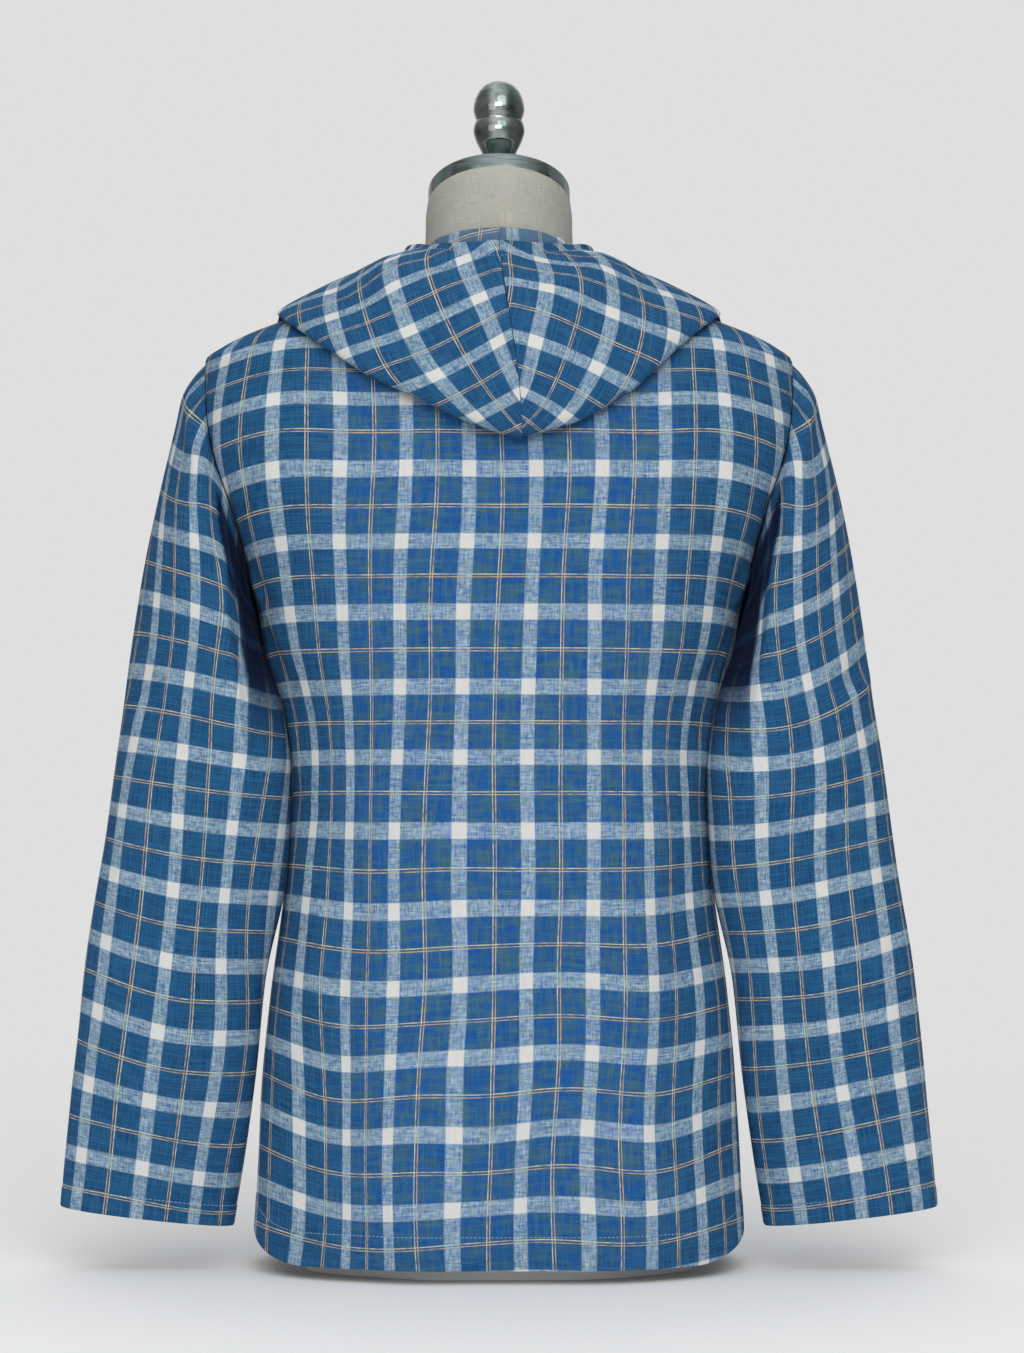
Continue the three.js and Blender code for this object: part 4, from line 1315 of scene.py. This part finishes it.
def dished_button():
    """One four-hole button lying on the plane z = 0: a rounded rim round a dish, holes drilled through."""
    radius, thick = BUTTON["radius"], BUTTON["thick"]
    profile = [(0.01, 0), (radius - 0.7, 0), (radius, 0.7), (radius, thick - 0.6), (radius - 0.5, thick),
               (radius - 1.3, thick), (radius - 2.1, thick - 0.8), (0.01, thick - BUTTON["dish"])]
    blank = loft("button_blank", revolve(rounded(profile), 64), [], 30)
    drills = []
    for turn in np.radians([45, 135, 225, 315]):
        drill = [(BUTTON_HOLE["radius"], -1), (BUTTON_HOLE["radius"], thick + 1)]
        place = [BUTTON_HOLE["from_middle"] * math.cos(turn), BUTTON_HOLE["from_middle"] * math.sin(turn), 0]
        drills.append(loft("button_drill", revolve(drill, 20) + place, [], 30))
    for drill in drills:
        cut = blank.modifiers.new("hole", "BOOLEAN")
        cut.object, cut.operation, cut.solver = drill, "DIFFERENCE", "EXACT"
    shape = blank.evaluated_get(bpy.context.evaluated_depsgraph_get()).to_mesh()
    points = np.array([vertex.co for vertex in shape.vertices]) / MM
    shape.calc_loop_triangles()
    triangles = np.array([triangle.vertices[:] for triangle in shape.loop_triangles])
    for piece in (blank, *drills):
        bpy.data.objects.remove(piece)
    return points, triangles


def thread_tube(path, radius):
    """A closed round tube along a path that lies on the front."""
    ahead = unit(np.gradient(path, axis=0))
    aside = unit(np.cross(ahead, np.broadcast_to([0.0, -1.0, 0.05], path.shape)))
    return tube(rings_round(path, aside, np.cross(aside, ahead), radius))


def sewing_paths():
    """Where a button's thread runs: up through one hole and down through the next, twice for each pair."""
    spread = BUTTON_HOLE["from_middle"]
    along = np.linspace(-1, 1, 9)
    dish_floor = BUTTON["thick"] - BUTTON["dish"]
    over = dish_floor - 0.9 + 1.45 * np.cos(math.pi / 2 * along) ** 0.4
    paths = []
    for pair in (-1, 1):
        for shift in (-0.22, 0.22):
            path = np.stack([spread * along, 0 * along + spread * pair + shift, over], -1)
            path[:, :2] *= math.sqrt(0.5)
            paths.append(path)
    return paths


def buttonhole_paths():
    """The thread of a buttonhole, with its radius: close stitches up and down both sides of a slot, and a
    bar across each end."""
    reach = BUTTON["radius"] + 1.6
    rows = np.arange(-reach, reach, 0.42)
    odd = np.arange(len(rows)) % 2
    across = np.linspace(-1.5, 1.5, 7)
    sunk = 0.1 - SEAM
    paths = []
    for side in (-1, 1):
        paths.append((np.stack([side * (0.25 + 1.25 * odd), rows, 0 * rows + sunk], -1), 0.21))
        paths.append((np.stack([across, 0 * across + side * reach, 0 * across + sunk], -1), 0.32))
    return paths


def make_buttons(front):
    """The buttons on the upper front, each lying on the cloth's own slope there and turned its own way."""
    points, triangles = dished_button()
    line = front[:, nearest(front[FRONT_ROW, :, 0], 0)]
    sewing, holes = [], []
    for index in range(BUTTON["count"]):
        name = f"button_{index + 1}"
        z = BUTTON["top"] - index * BUTTON["pitch"]
        near = np.array([z - 5, z, z + 5])
        low, seat, high = np.stack([0 * near, np.interp(near, line[:, 2], line[:, 1]), near], -1)
        up = unit(high - low)
        face = np.cross([1, 0, 0], up)
        lay = np.stack([[1, 0, 0], up, face])
        seat = seat + SEAM * face
        turn = 0.5 + 1.3 * index
        cos, sin = math.cos(turn), math.sin(turn)
        spin = np.array([[cos, sin, 0], [-sin, cos, 0], [0, 0, 1]])
        placed = seat + points @ spin @ lay
        fit(mesh_object(f"{name}_plastic", placed, triangles, [BUTTON_PLASTIC], sharp=30), "button", name)
        sewing += [thread_tube(seat + path @ spin @ lay, 0.24) for path in sewing_paths()]
        holes += [thread_tube(seat + path @ lay, radius) for path, radius in buttonhole_paths()]
    fit(mesh_object("thread_buttons", *merged(sewing), [THREAD]), "linen")
    fit(mesh_object("stitches_buttonholes", *merged(holes), [THREAD]), "linen")


make_back()
upper_front = make_front("left", 1)
make_front("right", -1)
for name, side in (("left", 1), ("right", -1)):
    make_sleeve(name, side)
    make_hood(name, side)
make_form()
make_cap()
make_finial()
make_buttons(upper_front)


def make_camera():
    data = bpy.data.cameras.new("photo_view")
    data.sensor_fit = "VERTICAL"
    data.angle = math.radians(CAMERA["angle"])
    data.shift_x = CAMERA["shift"]
    location = (0, CAMERA["distance"], CAMERA["height"])
    rotation = (math.radians(90 + CAMERA["tilt"]), 0, math.pi)
    bpy.context.scene.camera = place_object("photo_view", data, location, rotation)


def make_light(name, location, target, size, power):
    data = bpy.data.lights.new(name, "AREA")
    data.shape = "RECTANGLE"
    data.size, data.size_y = size
    data.energy = power
    towards = Vector(target) - Vector(location)
    place_object(name, data, location, towards.to_track_quat("-Z", "Y").to_euler())


def make_room():
    """A room that is plain and pale to the eye, and lights more from behind the camera than from beside."""
    world = bpy.data.worlds.new("studio")
    world.use_nodes = True
    backdrop = world.node_tree.nodes["Background"]
    backdrop.inputs["Color"].default_value = srgb(223, 223, 223)
    n = Nodes(world.node_tree)
    x, y, z = n.split(n.add("ShaderNodeTexCoord").outputs["Generated"])
    beside = n.fade(n.math("ABSOLUTE", x), 0.25, 0.8, 1.14, 0.26)
    above = n.fade(z, -0.1, 0.7, 0.8, 1.2)
    seen = n.add("ShaderNodeLightPath").outputs["Is Camera Ray"]
    n.put(n.fade(seen, 0, 1, n.math("MULTIPLY", beside, above), 1.0), backdrop.inputs["Strength"])
    bpy.context.scene.world = world
    bpy.context.scene.view_settings.view_transform = "Standard"


def make_floor(radius=2400, below=0.4, sides=96):
    turns = np.linspace(0, 2 * math.pi, sides + 1)[:-1]
    ring = np.stack([radius * np.cos(turns), radius * np.sin(turns), 0 * turns - below], -1)
    points = np.concatenate([ring, [[0, 0, -below]]])
    j = np.arange(sides)
    faces = np.stack([j, (j + 1) % sides, 0 * j + sides], -1)
    mesh_object("floor", points, faces, [plain_floor()])


make_camera()
make_room()
make_floor()
make_light("key", (-0.6, 2.3, 2.1), (0, 0, 0.5), (1.6, 1.6), 11)
make_light("fill", (1.3, 2.1, 0.9), (0, 0, 0.45), (1.4, 1.8), 3.5)
make_light("window", (0.1, 2.4, 1.35), (0, 0, 0.8), (1.3, 1.1), 13)
